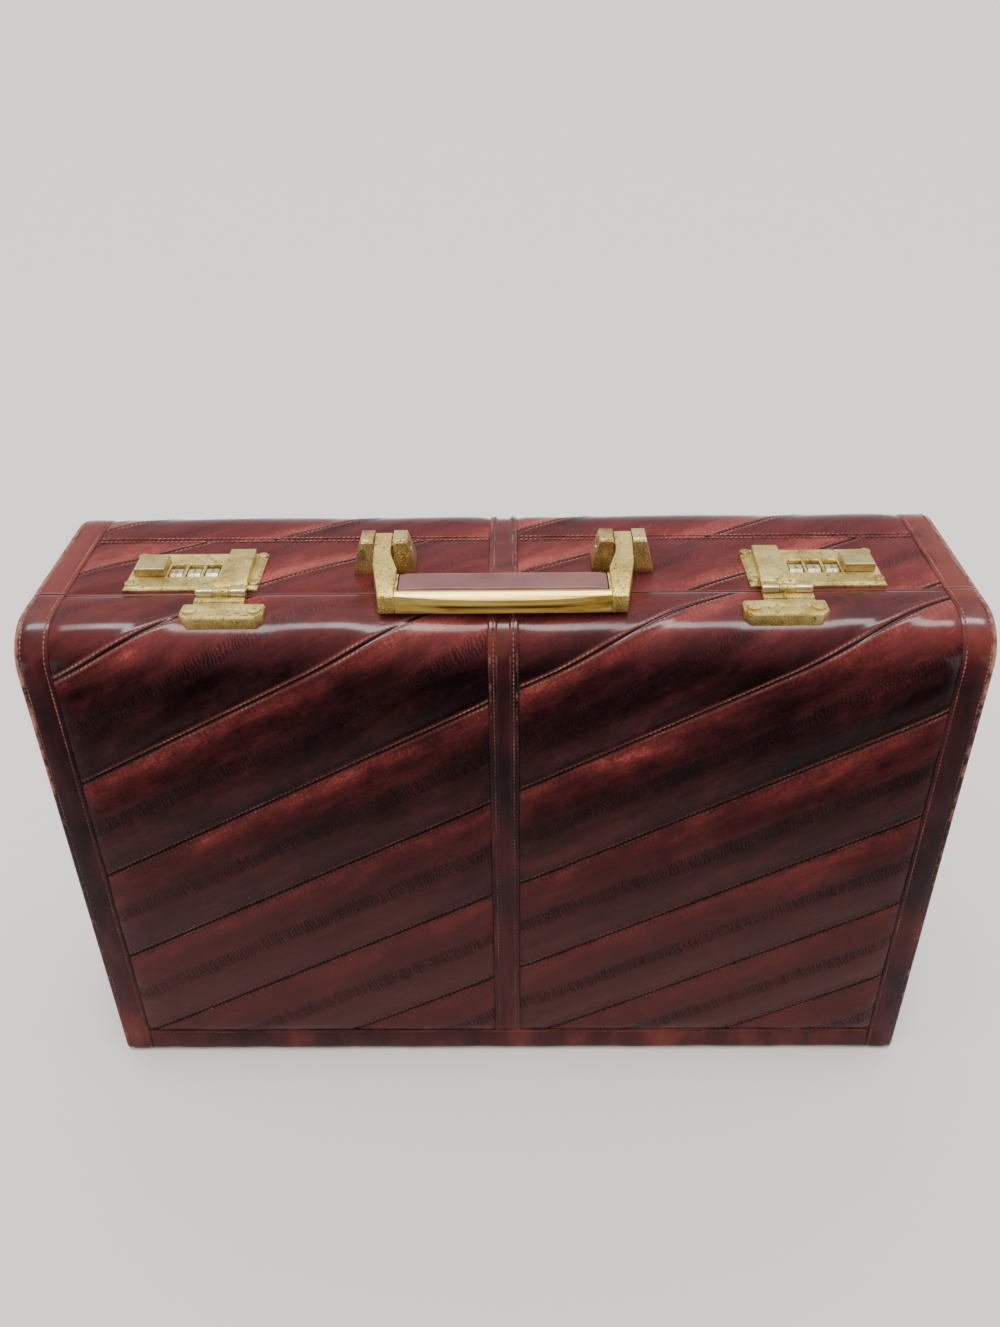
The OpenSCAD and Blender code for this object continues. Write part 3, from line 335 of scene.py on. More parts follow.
def soften(name, material, width=0.0004, segments=2, angle=25, dome=()):
    """Stands a copy of a CAD node in for it, its edges rounded as casting, stamping and use leave them.

    A dome is laid on its upward faces first, as insets of a width and a rise each."""
    piece = bpy.data.objects.new(name + "_piece", nodes[name].data.copy())
    bpy.context.collection.objects.link(piece)
    bpy.ops.object.select_all(action="DESELECT")
    bpy.context.view_layer.objects.active = piece
    piece.select_set(True)
    edit_whole()
    bpy.ops.mesh.remove_doubles(threshold=0.000005)
    bpy.ops.mesh.dissolve_limited(angle_limit=math.radians(1))
    close_edit()
    if dome:
        top = max(v.co.z for v in piece.data.vertices)
        for face in piece.data.polygons:
            face.select = face.normal.z > 0.99 and face.center.z > top - 0.0001
        bpy.ops.object.mode_set(mode="EDIT")
        bpy.ops.mesh.select_mode(type="FACE")
        for inward, rise in dome:
            bpy.ops.mesh.inset(thickness=inward, depth=rise)
        bpy.ops.mesh.select_mode(type="VERT")
        close_edit()
    rounding = piece.modifiers.new("rounding", "BEVEL")
    rounding.width, rounding.segments = width, segments
    rounding.limit_method, rounding.angle_limit = "ANGLE", math.radians(angle)
    rounding.use_clamp_overlap = True
    bpy.ops.object.modifier_apply(modifier="rounding")
    edit_whole()
    bpy.ops.mesh.quads_convert_to_tris(quad_method="BEAUTY", ngon_method="BEAUTY")
    close_edit()
    bpy.ops.object.shade_smooth_by_angle(angle=math.radians(35))
    piece.data.materials.clear()
    piece.data.materials.append(material)
    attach(piece, nodes[name]["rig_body"])
    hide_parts(name)
    return piece


# The plain layers of the CAD stay under the panels as softened copies. They only show in slits and at the
# cut-outs, in eel skin without its strips.
for name in ("base_band_leather", "base_back_leather", "lid_leather"):
    soften(name, plain_eel, 0.0006, 3, 40)

eel, tree, surface = new_finish("eel_skin", Coat_Roughness=0.16, Specular_IOR_Level=0.05)
strip_map = add(tree, "ShaderNodeSeparateXYZ", _0=add(tree, "ShaderNodeUVMap", {"uv_map": "strip"}).outputs[0])
along, line = strip_map.outputs["X"], strip_map.outputs["Y"]
part, from_seam = maths(tree, "FRACT", line), maths(tree, "PINGPONG", line, 0.5)
by_height = add(tree, "ShaderNodeSeparateXYZ", _0=own_place(tree)).outputs["Z"]

# Each skin has its own stains: the pattern is shifted along the strip by a number of the strip's own.
own_skin = add(tree, "ShaderNodeTexWhiteNoise", {"noise_dimensions": "1D"},
               W=maths(tree, "FLOOR", line)).outputs["Value"]
shifted = maths(tree, "MULTIPLY_ADD", own_skin, 7.0, along)
flat = add(tree, "ShaderNodeCombineXYZ", X=shifted, Y=line).outputs[0]
streaks = mottle(tree, flat, (16, 3.8, 1), 5, 0.6)
stains = mottle(tree, flat, (17, 2.2, 1), 4, 0.55)
grit = mottle(tree, flat, (900, 60, 1), 3, 0.6)
blots = mottle(tree, flat, (85, 6, 1), 5, 0.65)
flecks = mottle(tree, flat, (330, 42, 1), 6, 0.75)
# Painted light and shade across each skin: dark along its lower edge, brightest near its upper edge.
tone_and_painted_light = tint_ramp(tree, part, [(0.0, (0.04,) * 3), (0.25, (0.05,) * 3), (0.55, (0.09,) * 3), (0.78, (0.18,) * 3),
                              (0.91, (0.30,) * 3), (1.0, (0.27,) * 3)])
for mark, strength in ((streaks, 0.40), (stains, 0.55), (blots, 0.26), (flecks, 0.30), (grit, 0.20)):
    tone_and_painted_light = maths(tree, "MULTIPLY_ADD", mark, strength, tone_and_painted_light)
tone_and_painted_light = maths(tree, "SUBTRACT", tone_and_painted_light, 0.32)

# Painted reflection of the pale floor: near the floor the colour is evened out and tinted grey-brown.
# Painted light on the top: there it is made lighter and more even.
for amount, even in ((remap(tree, by_height, 0.235, 0.06, 0, 0.62), 0.825),
                     (remap(tree, by_height, 0.272, 0.290, 0, 0.58), 1.01)):
    tone_and_painted_light = add(tree, "ShaderNodeMix", _0=amount, _2=tone_and_painted_light, _3=even).outputs[0]
dye_and_painted_light = tint_ramp(tree, tone_and_painted_light, [(0.52, (0.008, 0.0025, 0.003)), (0.66, (0.028, 0.007, 0.0075)),
                             (0.78, (0.066, 0.014, 0.0145)), (0.90, (0.160, 0.029, 0.027)),
                             (1.06, (0.40, 0.088, 0.073))])
# Painted reflection: the grey-brown of the floor laid over the lowest skins.
dye_and_painted_light = tinted(tree, remap(tree, by_height, 0.20, 0.06, 0, 0.50), dye_and_painted_light, (0.078, 0.029, 0.028))

# The comb: short dark wrinkles across a wavering line a little above the middle of each skin.
ridge = part
for scale, sway in (((24, 0.2, 1), 0.08), ((420, 3, 1), 0.09)):
    ridge = maths(tree, "MULTIPLY_ADD", mottle(tree, flat, scale, 2), sway, ridge)
on_ridge = remap(tree, maths(tree, "ABSOLUTE", maths(tree, "SUBTRACT", ridge, 0.605)), 0.100, 0.050)
jitter = add(tree, "ShaderNodeTexNoise", Scale=1.0, Detail=2.0,
             Vector=add(tree, "ShaderNodeMapping", Vector=flat, Scale=(160, 14, 1)).outputs[0]).outputs["Color"]
leaning = add(tree, "ShaderNodeCombineXYZ", Y=0.0, X=maths(tree, "MULTIPLY_ADD", line, 0.022, shifted)).outputs[0]
comb_place = add(tree, "ShaderNodeVectorMath", {"operation": "MULTIPLY_ADD"}, _0=jitter, _1=(0.005, 0, 0),
                 _2=leaning).outputs[0]
comb, pucker = (add(tree, "ShaderNodeTexWave", {"bands_direction": "X"}, Vector=comb_place, Scale=scale,
                    Distortion=wander, Detail=3.0, Detail_Scale=fine).outputs["Fac"]
                for scale, wander, fine in ((165.0, 5.0, 2.6), (105.0, 6.0, 1.6)))
strokes = maths(tree, "MULTIPLY", on_ridge, remap(tree, comb, 0.34, 0.62))
for less in (remap(tree, mottle(tree, flat, (19, 1.1, 1), 2), 0.36, 0.6, 0.65),
             remap(tree, by_height, 0.276, 0.293, 1.0, 0.45)):
    strokes = maths(tree, "MULTIPLY", strokes, less)

# The seams: the skin puckers beside the thread and is rubbed bare along its edges; the crevice is painted dark, as
# shade.
puckers = maths(tree, "MULTIPLY", pucker, remap(tree, from_seam, 0.16, 0.02))
inked = maths(tree, "MULTIPLY_ADD", strokes, 0.85, maths(tree, "MULTIPLY", puckers, 0.34))
rubbed = maths(tree, "MULTIPLY", remap(tree, from_seam, 0.055, 0.030, 0, 0.5), remap(tree, by_height, 0.20, 0.285))
# Painted shade along the bottom of each seam's crevice.
painted_crevice_shade = remap(tree, from_seam, 0.022, 0.008, 0, 0.95)
for amount, colour in ((inked, (0.010, 0.003, 0.005)), (rubbed, (0.30, 0.085, 0.070)),
                       (painted_crevice_shade, (0.008, 0.003, 0.004))):
    dye_and_painted_light = tinted(tree, amount, dye_and_painted_light, colour)
coat = maths(tree, "MULTIPLY", use_group(tree, roll_polish)[0], 0.75)
for more in (remap(tree, by_height, 0.22, 0.12, 0, 0.03), remap(tree, part, 0.5, 0.1, 0, 0.055)):
    coat = maths(tree, "ADD", coat, more)
plug(surface, Base_Color=dye_and_painted_light, Roughness=remap(tree, streaks, 0.3, 0.7, 0.20, 0.34), Coat_Weight=coat)
relief = streaks
for mark, rise in ((grit, 0.16), (strokes, -0.9), (puckers, 0.30)):
    relief = maths(tree, "MULTIPLY_ADD", mark, rise, relief)
roughen(tree, surface, relief, 0.0006, 0.7)


def wrap(side, depth):
    """Lays flat leather round a half: s runs up the face from the floor, over the roll and along the top."""
    radius, heel = ROLL - COVER, FOOT - COVER
    start = CASE_TOP - ROLL

    def place(x, s, lift):
        """Where a flat place with its lift ends up in space."""
        x, s, lift = np.broadcast_arrays(x, s, lift)
        turn = np.clip((s - start) / radius, 0, math.pi / 2)
        over = np.maximum(s - start - radius * math.pi / 2, 0)
        y = depth - ROLL + (radius + lift) * np.cos(turn) - over
        z = np.clip(s, FOOT, start) + (radius + lift) * np.sin(turn)
        under = np.clip((FOOT - s) / heel, 0, math.pi / 2)
        below = np.maximum(FOOT - s - heel * math.pi / 2, 0)
        bend = np.maximum(heel + lift, 0)
        low = s < FOOT
        y = np.where(low, depth - FOOT + bend * np.cos(under) - below, y)
        z = np.where(low, FOOT - bend * np.sin(under), z)
        y = np.minimum(y, depth - COVER + lift)
        z = np.maximum(z, np.clip(COVER - lift, 0, 0.1))
        return np.stack([x, PART_Y + side * y, z], axis=-1)
    return place


def along_top(depth, y):
    """The s of a line on the top, at the given distance from the parting line."""
    return CASE_TOP - ROLL + (ROLL - COVER) * math.pi / 2 + depth - ROLL - y


def new_grid(name, wide, tall):
    """A grid of so many faces across and up, with the column and the row of each of its points."""
    bpy.ops.mesh.primitive_grid_add(x_subdivisions=wide, y_subdivisions=tall, size=2)
    grid = bpy.context.object
    grid.name = name
    spots = np.array([v.co[:2] for v in grid.data.vertices])
    columns, rows = np.rint((spots + 1) / 2 * (wide, tall)).astype(int).T
    return grid, columns, rows


def flat_panel(name, low, high, seams, slant, holes):
    """A grid in the flat whose rows follow the slanted seams, trimmed to a rectangle, with its holes cut."""
    near = [0.0, 0.0005, 0.001, 0.0017, 0.0026, 0.004, 0.0065]      # rows are close together beside a seam
    rows = []
    for seam, after in zip(seams, seams[1:]):
        middle = np.arange(0.009, after - seam - 0.0075, 0.0032)
        rows += [seam + v for v in near] + [seam + v for v in middle] + [after - v for v in near[:0:-1]]
    rows = np.array(rows + [seams[-1]])
    reach = [k - slant * x for k in (low[1], high[1]) for x in (low[0], high[0])]
    rows = rows[(rows > min(reach) - 0.004) & (rows < max(reach) + 0.004)]
    count = max(2, round((high[0] - low[0]) / 0.003))
    columns = np.linspace(low[0] - 0.001, high[0] + 0.001, count + 1)
    panel, i, j = new_grid(name, count, len(rows) - 1)
    spots = np.stack([columns[i], rows[j] + slant * columns[i], 0 * columns[i]], axis=1)
    panel.data.vertices.foreach_set("co", spots.ravel())

    def cut(*lines, **settings):
        """Cuts along lines, each given by a place on it and the way it faces."""
        for x, s, across, up in lines:
            bpy.ops.mesh.select_all(action="SELECT")
            bpy.ops.mesh.bisect(plane_co=(x, s, 0), plane_no=(across, up, 0), **settings)

    bpy.ops.object.mode_set(mode="EDIT")
    cut((low[0], 0, -1, 0), (high[0], 0, 1, 0), (0, low[1], 0, -1), (0, high[1], 0, 1), clear_outer=True)
    for x0, s0, x1, s1 in holes:
        cut((x0, 0, 1, 0), (x1, 0, 1, 0), (0, s0, 0, 1), (0, s1, 0, 1))
        bpy.ops.mesh.select_all(action="DESELECT")
        close_edit()
        for face in panel.data.polygons:
            face.select = x0 < face.center.x < x1 and s0 < face.center.y < s1
        bpy.ops.object.mode_set(mode="EDIT")
        bpy.ops.mesh.delete(type="FACE")
    close_edit()
    return panel


def strip_of(drop, marks):
    """The number of the strip between two seams that holds a place, and how far up that strip it lies."""
    number = np.clip(np.searchsorted(marks, drop, side="right") - 1, 0, len(marks) - 2)
    return number, (drop - marks[number]) / (marks[number + 1] - marks[number])


def bump(distance, width):
    """A smooth rise of 1 that is gone after about two widths."""
    return np.exp(-(distance / width) ** 2)


def fullness(x, s, low, high, seams, slant, crown, pressed_by):
    """The height of the skin over its boards: crowned strips, tight seams and pressed edges."""
    part = np.clip(strip_of(s - slant * x, np.array(seams))[1], 0, 1 - 1e-6)
    to_seam = np.minimum(part, 1 - part) * np.diff(seams).mean() * math.cos(math.atan(slant))
    crest, bluntness = 0.92, 2.1
    body = np.interp(s, *crown) * (1 - np.abs(2 * part - crest) ** bluntness)
    # The thread pulls the seam down, and the folded edges stand up beside it.
    skin, pulled, folded = 0.0005, 0.0009, 0.0004
    seam = skin - pulled * bump(to_seam, 0.0006) + folded * bump(to_seam - 0.0022, 0.0011)
    edge = np.minimum.reduce([x - low[0], high[0] - x, s - low[1], high[1] - s])
    free = 1 - np.exp(-np.maximum(edge, 0) / 0.0045)
    for x0, s0, x1, s1 in pressed_by:         # metal parts press it down and let go over a centimetre
        gap = np.hypot(np.maximum.reduce([x0 - x, x - x1, x * 0]), np.maximum.reduce([s0 - s, s - s1, s * 0]))
        free = free * (1 - np.exp(-(gap / 0.010) ** 1.3))
    welt = 0.0006 * bump(np.abs(s - rear_line) - 0.0013, 0.0009)
    glue, least = 0.0001, 0.00005
    return np.maximum(glue + (body + seam) * free + welt, least)


def cover(name, body, place, low, high, seams, slant, crown, holes, pressed_by):
    """Cuts a panel in the flat, fills it out over its felt, lays it in place and gives it its map."""
    panel = flat_panel(name, low, high, seams, slant, holes)
    mesh = panel.data
    x, s = np.array([v.co[:2] for v in mesh.vertices]).T
    loops = np.array([corner.vertex_index for corner in mesh.loops])
    counts = np.array([face.loop_total for face in mesh.polygons])
    starts = np.concatenate([[0], np.cumsum(counts)[:-1]])
    marks, drop = np.array(seams), (s - slant * x)[loops]
    number = np.repeat(strip_of(np.add.reduceat(drop, starts) / counts, marks)[0], counts)
    value = np.clip((drop - marks[number]) / (marks[number + 1] - marks[number]), 0.0005, 0.9995)
    layer = mesh.uv_layers.new(name="strip")
    layer.data.foreach_set("uv", np.stack([x[loops] / math.cos(math.atan(slant)), number + value], axis=1).ravel())
    lift = fullness(x, s, low, high, seams, slant, crown, pressed_by)
    mesh.vertices.foreach_set("co", place(x, s, lift).ravel())
    mesh.update()
    bpy.context.view_layer.objects.active = panel
    middle = Vector((0, 0, 0.14))
    inward = sum(f.normal.dot(f.center - middle) for f in mesh.polygons) < 0
    if inward:
        edit_whole()
        bpy.ops.mesh.flip_normals()
        close_edit()
    wall = panel.modifiers.new("wall", "SOLIDIFY")
    wall.thickness, wall.offset = 0.0006, -1
    bpy.ops.object.modifier_apply(modifier="wall")
    bpy.ops.object.shade_smooth_by_angle(angle=math.radians(50))
    panel.data.materials.append(eel)
    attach(panel, body)


face_seams = [-0.177, -0.114, -0.051, 0.0058, 0.0675, 0.1325, 0.197, 0.259, 0.322, 0.385, 0.448]
STRIP, LID_SLANT, BASE_SLANT = 0.0634, 0.545, -0.563
band_seams = [0.1757 + STRIP * k for k in range(7)]
back_seams = [-0.1236 + STRIP * k for k in range(11)]
end_seams = [-0.170 + STRIP * k for k in range(9)]
END_X = 0.2277            # the skins on the ends lie this far from the middle
lid_top, base_top = along_top(LID_DEPTH, 0.0013), along_top(BASE_DEPTH, 0.0013)
rear_line = along_top(BASE_DEPTH, 0.0555)
face_crown = ((0.0, 0.25, 0.29, 0.305, 0.4), (0.0026, 0.0024, 0.0012, 0.0007, 0.0007))
band_crown = ((0.0, 1.0), (0.0006, 0.0006))
on_lid, on_base = wrap(-1, LID_DEPTH), wrap(1, BASE_DEPTH)
panels = []
for hand, end in ((-1, "_l"), (1, "_r")):
    def span(inner, outer):
        """From the middle outwards on this hand's side, given in order of x."""
        return (inner, outer) if hand > 0 else (-outer, -inner)

    def patch(x0, x1, y0, y1, depth):
        """A rectangle on the top of a half, given from the middle and from the parting line, in the flat."""
        (a, b), (c, d) = span(x0, x1), (along_top(depth, y1), along_top(depth, y0))
        return a, c, b, d

    x0, x1 = span(STRAP_SIDE, BIND_SIDE)
    hasp = patch(0.112, 0.152, 0.0005, 0.026, LID_DEPTH)
    grip = patch(0.0, 0.064, 0.0004, 0.0235, LID_DEPTH)
    lock = patch(0.1195, 0.18525, 0.003, 0.0385, BASE_DEPTH)
    pocket = patch(0.1253, 0.17945, 0.00475, 0.03675, BASE_DEPTH)
    notch = patch(0.1281, 0.1337, 0.0, 0.0055, BASE_DEPTH)
    mount = patch(0.0439, 0.0741, 0.0195, 0.0375, BASE_DEPTH)
    panels += [
        ("lid_cover" + end, "lid", on_lid, (x0, FACE_LOW), (x1, lid_top), face_seams, LID_SLANT, face_crown, (),
         (hasp, grip)),
        ("band_cover" + end, "base", on_base, (x0, rear_line + 0.0001), (x1, base_top), band_seams, BASE_SLANT,
         band_crown, (pocket, notch), (lock, notch, mount)),
        ("back_cover" + end, "base", on_base, (x0, FACE_LOW), (x1, rear_line - 0.0001), back_seams, BASE_SLANT,
         face_crown, (), ()),
    ]
    on_end = lambda y, z, lift, hand=hand: np.stack([hand * (END_X + lift), PART_Y + y, z + 0 * lift], axis=-1)
    for body, front, back in (("lid", -0.0265, -0.0004), ("base", 0.0004, 0.0855)):
        panels.append((body + "_end_cover" + end, body, on_end, (front, 0.010), (back, 0.285), end_seams, LID_SLANT,
                       band_crown, (), ()))
for panel in panels:
    cover(*panel)


# Bindings: calf strips, dyed deep maroon, that wrap each end of both halves over the edge of the covering.
# They are glued, drawn round the rolls and stitched through near both edges, and the corners have worn tan.
# The stiff lip round the base's opening is covered in the same calf.
trim_leather = old_leather("trim_leather", (0.016, 0.004, 0.005), (0.060, 0.011, 0.012), (0.185, 0.038, 0.029))
paint(trim_leather, "rim_lip")


def lay_trim(name, body, place, outline, stations, crosswise=False, crease=()):
    """Draws a closed cross-section along a half: outline holds (across, lift, wear), stations run along it."""
    outline, stations = np.array(outline), np.array(stations)
    ring = np.concatenate([outline, outline[:1]])
    trim, i, j = new_grid(name, len(ring) - 1, len(stations) - 1)
    mesh = trim.data
    q, lift, run = ring[i, 0], ring[i, 1].copy(), stations[j]
    # Strips that are skived by hand swell and thin a little, and they dip where they cross a seam.
    swell = 0.00010 * np.sin(run * 97 + q * 31) + 0.00007 * np.sin(run * 241 + 2.0 + q * 77)
    lift = np.where(lift > 0.0004, lift + swell, lift)
    for mark in crease:
        lift = np.where(lift > 0.0003, lift - 0.0008 * bump(run - mark, 0.0006), lift)
    co = place(run, q, lift) if crosswise else place(q, run, lift)
    mesh.vertices.foreach_set("co", co.ravel())
    wear = mesh.attributes.new("wear", "FLOAT", "POINT")
    wear.data.foreach_set("value", ring[i, 2] * np.interp(co[:, 2], (0.16, 0.27), (0.62, 1.0)))
    mesh.update()
    bpy.context.view_layer.objects.active = trim
    edit_whole()
    bpy.ops.mesh.remove_doubles(threshold=0.00001)
    bpy.ops.mesh.select_all(action="DESELECT")
    bpy.ops.mesh.select_non_manifold()
    bpy.ops.mesh.edge_face_add()
    bpy.ops.mesh.select_all(action="SELECT")
    bpy.ops.mesh.normals_make_consistent(inside=False)
    close_edit()
    bpy.ops.object.shade_smooth_by_angle(angle=math.radians(40))
    mesh.materials.append(trim_leather)
    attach(trim, body)
    return trim


def path_stations(first, last):
    """Places along a half for a piece that goes round it: close together on the bends."""
    heel = FOOT - (FOOT - COVER) * math.pi / 2
    start = CASE_TOP - ROLL
    marks = [first] + list(np.arange(first + 0.004, heel, 0.006)) if first < heel else [first]
    if first < FOOT:
        marks += list(np.linspace(heel, FOOT, 6))
    marks += list(np.arange(max(first, FOOT) + 0.006, start - 0.003, 0.006))
    marks += list(np.linspace(start, start + (ROLL - COVER) * math.pi / 2, 17))
    marks += list(np.arange(marks[-1] + 0.004, last - 0.002, 0.005)) + [last]
    return [m for m, after in zip(marks, marks[1:] + [1]) if after - m > 1e-5]


CORNER_X, CORNER_LIFT, CORNER = 0.2261, -0.0016, 0.0024      # the middle and the radius of the turned corner
corner = [(CORNER_X + CORNER * math.sin(a), CORNER_LIFT + CORNER * math.cos(a), 1.0)
          for a in np.radians(range(0, 91, 15))]
binding = [(0.2120, 0.00003, 0), (0.2121, 0.0006, 0.2), (0.2125, 0.00095, 0.2), (0.2132, 0.0010, 0),
           (0.2139, 0.00082, 0), (0.2147, 0.0010, 0), (0.2163, 0.0012, 0), (0.2195, 0.0013, 0), (0.2230, 0.0012, 0),
           (0.2243, 0.00098, 0.2), (0.2250, 0.00085, 0.5)] + corner + [
           (0.2287, -0.0030, 0.5), (0.2288, -0.0055, 0.1), (0.2287, -0.0080, 0), (0.2284, -0.0092, 0),
           (0.2286, -0.0100, 0.2), (0.2285, -0.0107, 0.5), (0.2281, -0.0111, 0.5), (0.22773, -0.0112, 0),
           (0.22773, -0.0060, 0), (0.22773, 0.00003, 0), (0.2190, 0.00003, 0)]
# Each half: its body, how it is wrapped, its depth, where its strips end at the parting and what they cross.
halves = (("lid", on_lid, LID_DEPTH, along_top(LID_DEPTH, 0.0004), ()),
          ("base", on_base, BASE_DEPTH, along_top(BASE_DEPTH, 0.0004), (rear_line,)))
low_end = FOOT - (FOOT - COVER) * math.pi / 2
for body, place, depth, top, creases in halves:
    first = low_end - (depth - FOOT - 0.0034)
    stations = path_stations(first, top)
    trims = [lay_trim(body + "_binding" + end, body, place, [(hand * x, lift, wear) for x, lift, wear in binding],
                      stations, crease=creases) for hand, end in ((-1, "_l"), (1, "_r"))]
    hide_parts(body + "_end_bindings")


# Centre straps: one per half, a flat ribbon of skin with a folded and stitched cord of calf along each
# edge. They cover the joint between the two panels and run from the foot strip over the roll.
rib = [(0.0073, 0.00003, 0), (0.0073, 0.0007, 0.2), (0.0069, 0.0013, 0.55), (0.0060, 0.00165, 0.7),
       (0.0053, 0.0015, 0.4), (0.0047, 0.00125, 0.1), (0.0041, 0.0014, 0.3), (0.0034, 0.0012, 0.3),
       (0.0030, 0.0007, 0), (0.0024, 0.00055, 0), (0.0008, 0.00062, 0)]
strap_outline = rib + [(-x, lift, wear) for x, lift, wear in rib[::-1]]
for body, place, depth, top, creases in halves:
    strap = lay_trim(body + "_centre_strap", body, place, strap_outline, path_stations(0.0184, top),
                     crease=creases)
    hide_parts(body + "_strap")


# Foot strips: calf along the bottom of both long faces, folded under the case and glued beside the hinge,
# with one stitched row near the upper edge, which is the first place to scuff.
FOOT_SIDE = 0.2117
for body, place, depth, top, creases in halves:
    under = low_end - (depth - FOOT - 0.0146)
    foot_outline = [(0.0180, 0.00003, 0.2), (0.0180, 0.0006, 0.9), (0.0176, 0.00095, 0.9), (0.0169, 0.0009, 0.3),
                    (0.0162, 0.00078, 0), (0.0155, 0.00095, 0), (0.0130, 0.0011, 0), (0.0080, 0.0011, 0.1),
                    (0.0050, 0.0009, 0.5), (FOOT, 0.0008, 0.8)]
    foot_outline += [(q, 0.0008, 0.9) for q in np.linspace(FOOT, low_end, 6)[1:]]
    foot_outline += [(q, 0.0008, 0.3) for q in np.linspace(low_end, under, 4)[1:]]
    foot_outline += [(q, 0.00003, 0) for q in np.linspace(under, low_end, 4)]
    foot_outline += [(q, 0.00003, 0) for q in np.linspace(low_end, FOOT, 6)[1:]] + [(0.0110, 0.00003, 0)]
    trim = lay_trim(body + "_foot_trim", body, place, foot_outline, np.linspace(-FOOT_SIDE, FOOT_SIDE, 142),
                    crosswise=True)
    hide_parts(body + "_foot_strip")


# Stitching: waxed linen thread, orange-brown and darkened in patches, with painted shade low on the case and painted
# light towards the top. Two rows run beside every seam of the skins, one beside each edge of the bindings, and one
# along each cord of the straps.
thread, tree, surface = new_finish("waxed_thread", Roughness=0.6)
own = own_place(tree)
tall = add(tree, "ShaderNodeSeparateXYZ", _0=own).outputs["Z"]
# Painted light and shade: lighter towards the top, darker low on the case, over patches of grime.
grime_and_painted_light = maths(tree, "ADD", mottle(tree, own, (45, 45, 45), 4, 0.7),
              remap(tree, tall, 0.20, 0.285, -0.08, 0.14))
plug(surface, Base_Color=tint_ramp(tree, grime_and_painted_light, [(0.36, (0.040, 0.011, 0.009)), (0.54, (0.13, 0.040, 0.032)),
                                                 (0.76, (0.38, 0.155, 0.12))]))
roughen(tree, surface, mottle(tree, own, (2600, 2600, 2600), 2), 0.0002)

bpy.ops.mesh.primitive_uv_sphere_add(segments=6, ring_count=4, radius=1)
bead = bpy.context.object
edit_whole()
bpy.ops.transform.rotate(value=math.pi / 2, orient_axis="Y", center_override=(0, 0, 0))
bpy.ops.mesh.quads_convert_to_tris()
close_edit()
PITCH = 0.0024            # from stitch to stitch
HALF_LONG, HALF_WIDE, HALF_HIGH, SUNK = 0.00112, 0.00050, 0.00042, 0.00004
bead_spots = np.array([v.co[:] for v in bead.data.vertices])
bead_faces = np.array(sorted(f.vertices[:] for f in bead.data.polygons))      # their own order varies by run
bpy.data.objects.remove(bead)


def row(place, height, start, stop, skip=()):
    """Frames for one row of stitches between two places in the flat: middle, along, across and outward."""
    start, stop = np.array(start, float), np.array(stop, float)
    length = np.linalg.norm(stop - start)
    count = max(int(length / PITCH), 1)
    at = start + (stop - start) * ((np.arange(count) + 0.5) / count)[:, None]
    for x0, s0, x1, s1 in skip:
        at = at[~((at[:, 0] > x0) & (at[:, 0] < x1) & (at[:, 1] > s0) & (at[:, 1] < s1))]
    if not len(at):
        return np.zeros((0, 4, 3))
    small = 0.0003            # a step this long finds which way the leather runs and faces
    (x, s), (dx, ds) = at.T, (stop - start) / length * small
    lift = height(x, s)
    here = place(x, s, lift)
    ahead = place(x + dx, s + ds, height(x + dx, s + ds)) - here
    beside = place(x - ds, s + dx, lift) - here
    ahead /= np.linalg.norm(ahead, axis=1)[:, None]
    out = np.cross(ahead, beside)
    out /= np.linalg.norm(out, axis=1)[:, None]
    out *= np.sign(np.sum(out * (place(x, s, lift + 0.001) - here), axis=1))[:, None]
    return np.stack([here, ahead, np.cross(out, ahead), out], axis=1)


def sew(name, body, rows, lean=0.22):
    """Joins all the stitches of some rows into one piece, every stitch a copy of the one bead."""
    frames = np.concatenate([r for r in rows if len(r)])
    here, ahead, beside, out = frames[:, 0], frames[:, 1], frames[:, 2], frames[:, 3]
    turned = ahead * math.cos(lean) + beside * math.sin(lean)
    beside = beside * math.cos(lean) - ahead * math.sin(lean)
    spots = (here - out * SUNK)[:, None]
    for k, way in enumerate((turned * HALF_LONG, beside * HALF_WIDE, out * HALF_HIGH)):
        spots = spots + bead_spots[None, :, k, None] * way[:, None]
    faces = bead_faces[None] + (np.arange(len(frames)) * len(bead_spots))[:, None, None]
    mesh = bpy.data.meshes.new(name)
    mesh.from_pydata(spots.reshape(-1, 3), [], faces.reshape(-1, 3))
    sewn = bpy.data.objects.new(name, mesh)
    bpy.context.collection.objects.link(sewn)
    bpy.context.view_layer.objects.active = sewn
    bpy.ops.object.select_all(action="DESELECT")
    sewn.select_set(True)
    bpy.ops.object.shade_smooth()
    mesh.materials.append(thread)
    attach(sewn, body)


def trim_height(lift):
    """The height of a trim, which is even all along."""
    return lambda x, s: lift + 0 * x


SEAM_SIDE = 0.0015
for body in ("lid", "base"):
    rows = []
    for name, carrier, place, (x0, s0), (x1, s1), seams, slant, crown, holes, pressed in panels:
        if carrier != body:
            continue

        def height(x, s):
            """How high the skin stands at a place of this panel."""
            return fullness(x, s, (x0, s0), (x1, s1), seams, slant, crown, pressed)

        for seam in seams:
            for beside in (-SEAM_SIDE, SEAM_SIDE):
                level = seam + beside / math.cos(math.atan(slant))
                ends = sorted([(s0 + 0.001 - level) / slant, (s1 - 0.001 - level) / slant])
                a, b = max(x0 + 0.002, ends[0]), min(x1 - 0.001, ends[1])
                if b - a > 0.004:
                    rows.append(row(place, height, (a, level + slant * a), (b, level + slant * b), skip=pressed))
        if "band" in name:
            rows.append(row(place, height, (x0 + 0.002, s0 + 0.0016), (x1 - 0.001, s0 + 0.0016)))
        if "back" in name:
            rows.append(row(place, height, (x0 + 0.002, s1 - 0.0016), (x1 - 0.001, s1 - 0.0016)))
    sew(body + "_seam_stitches", body, rows)
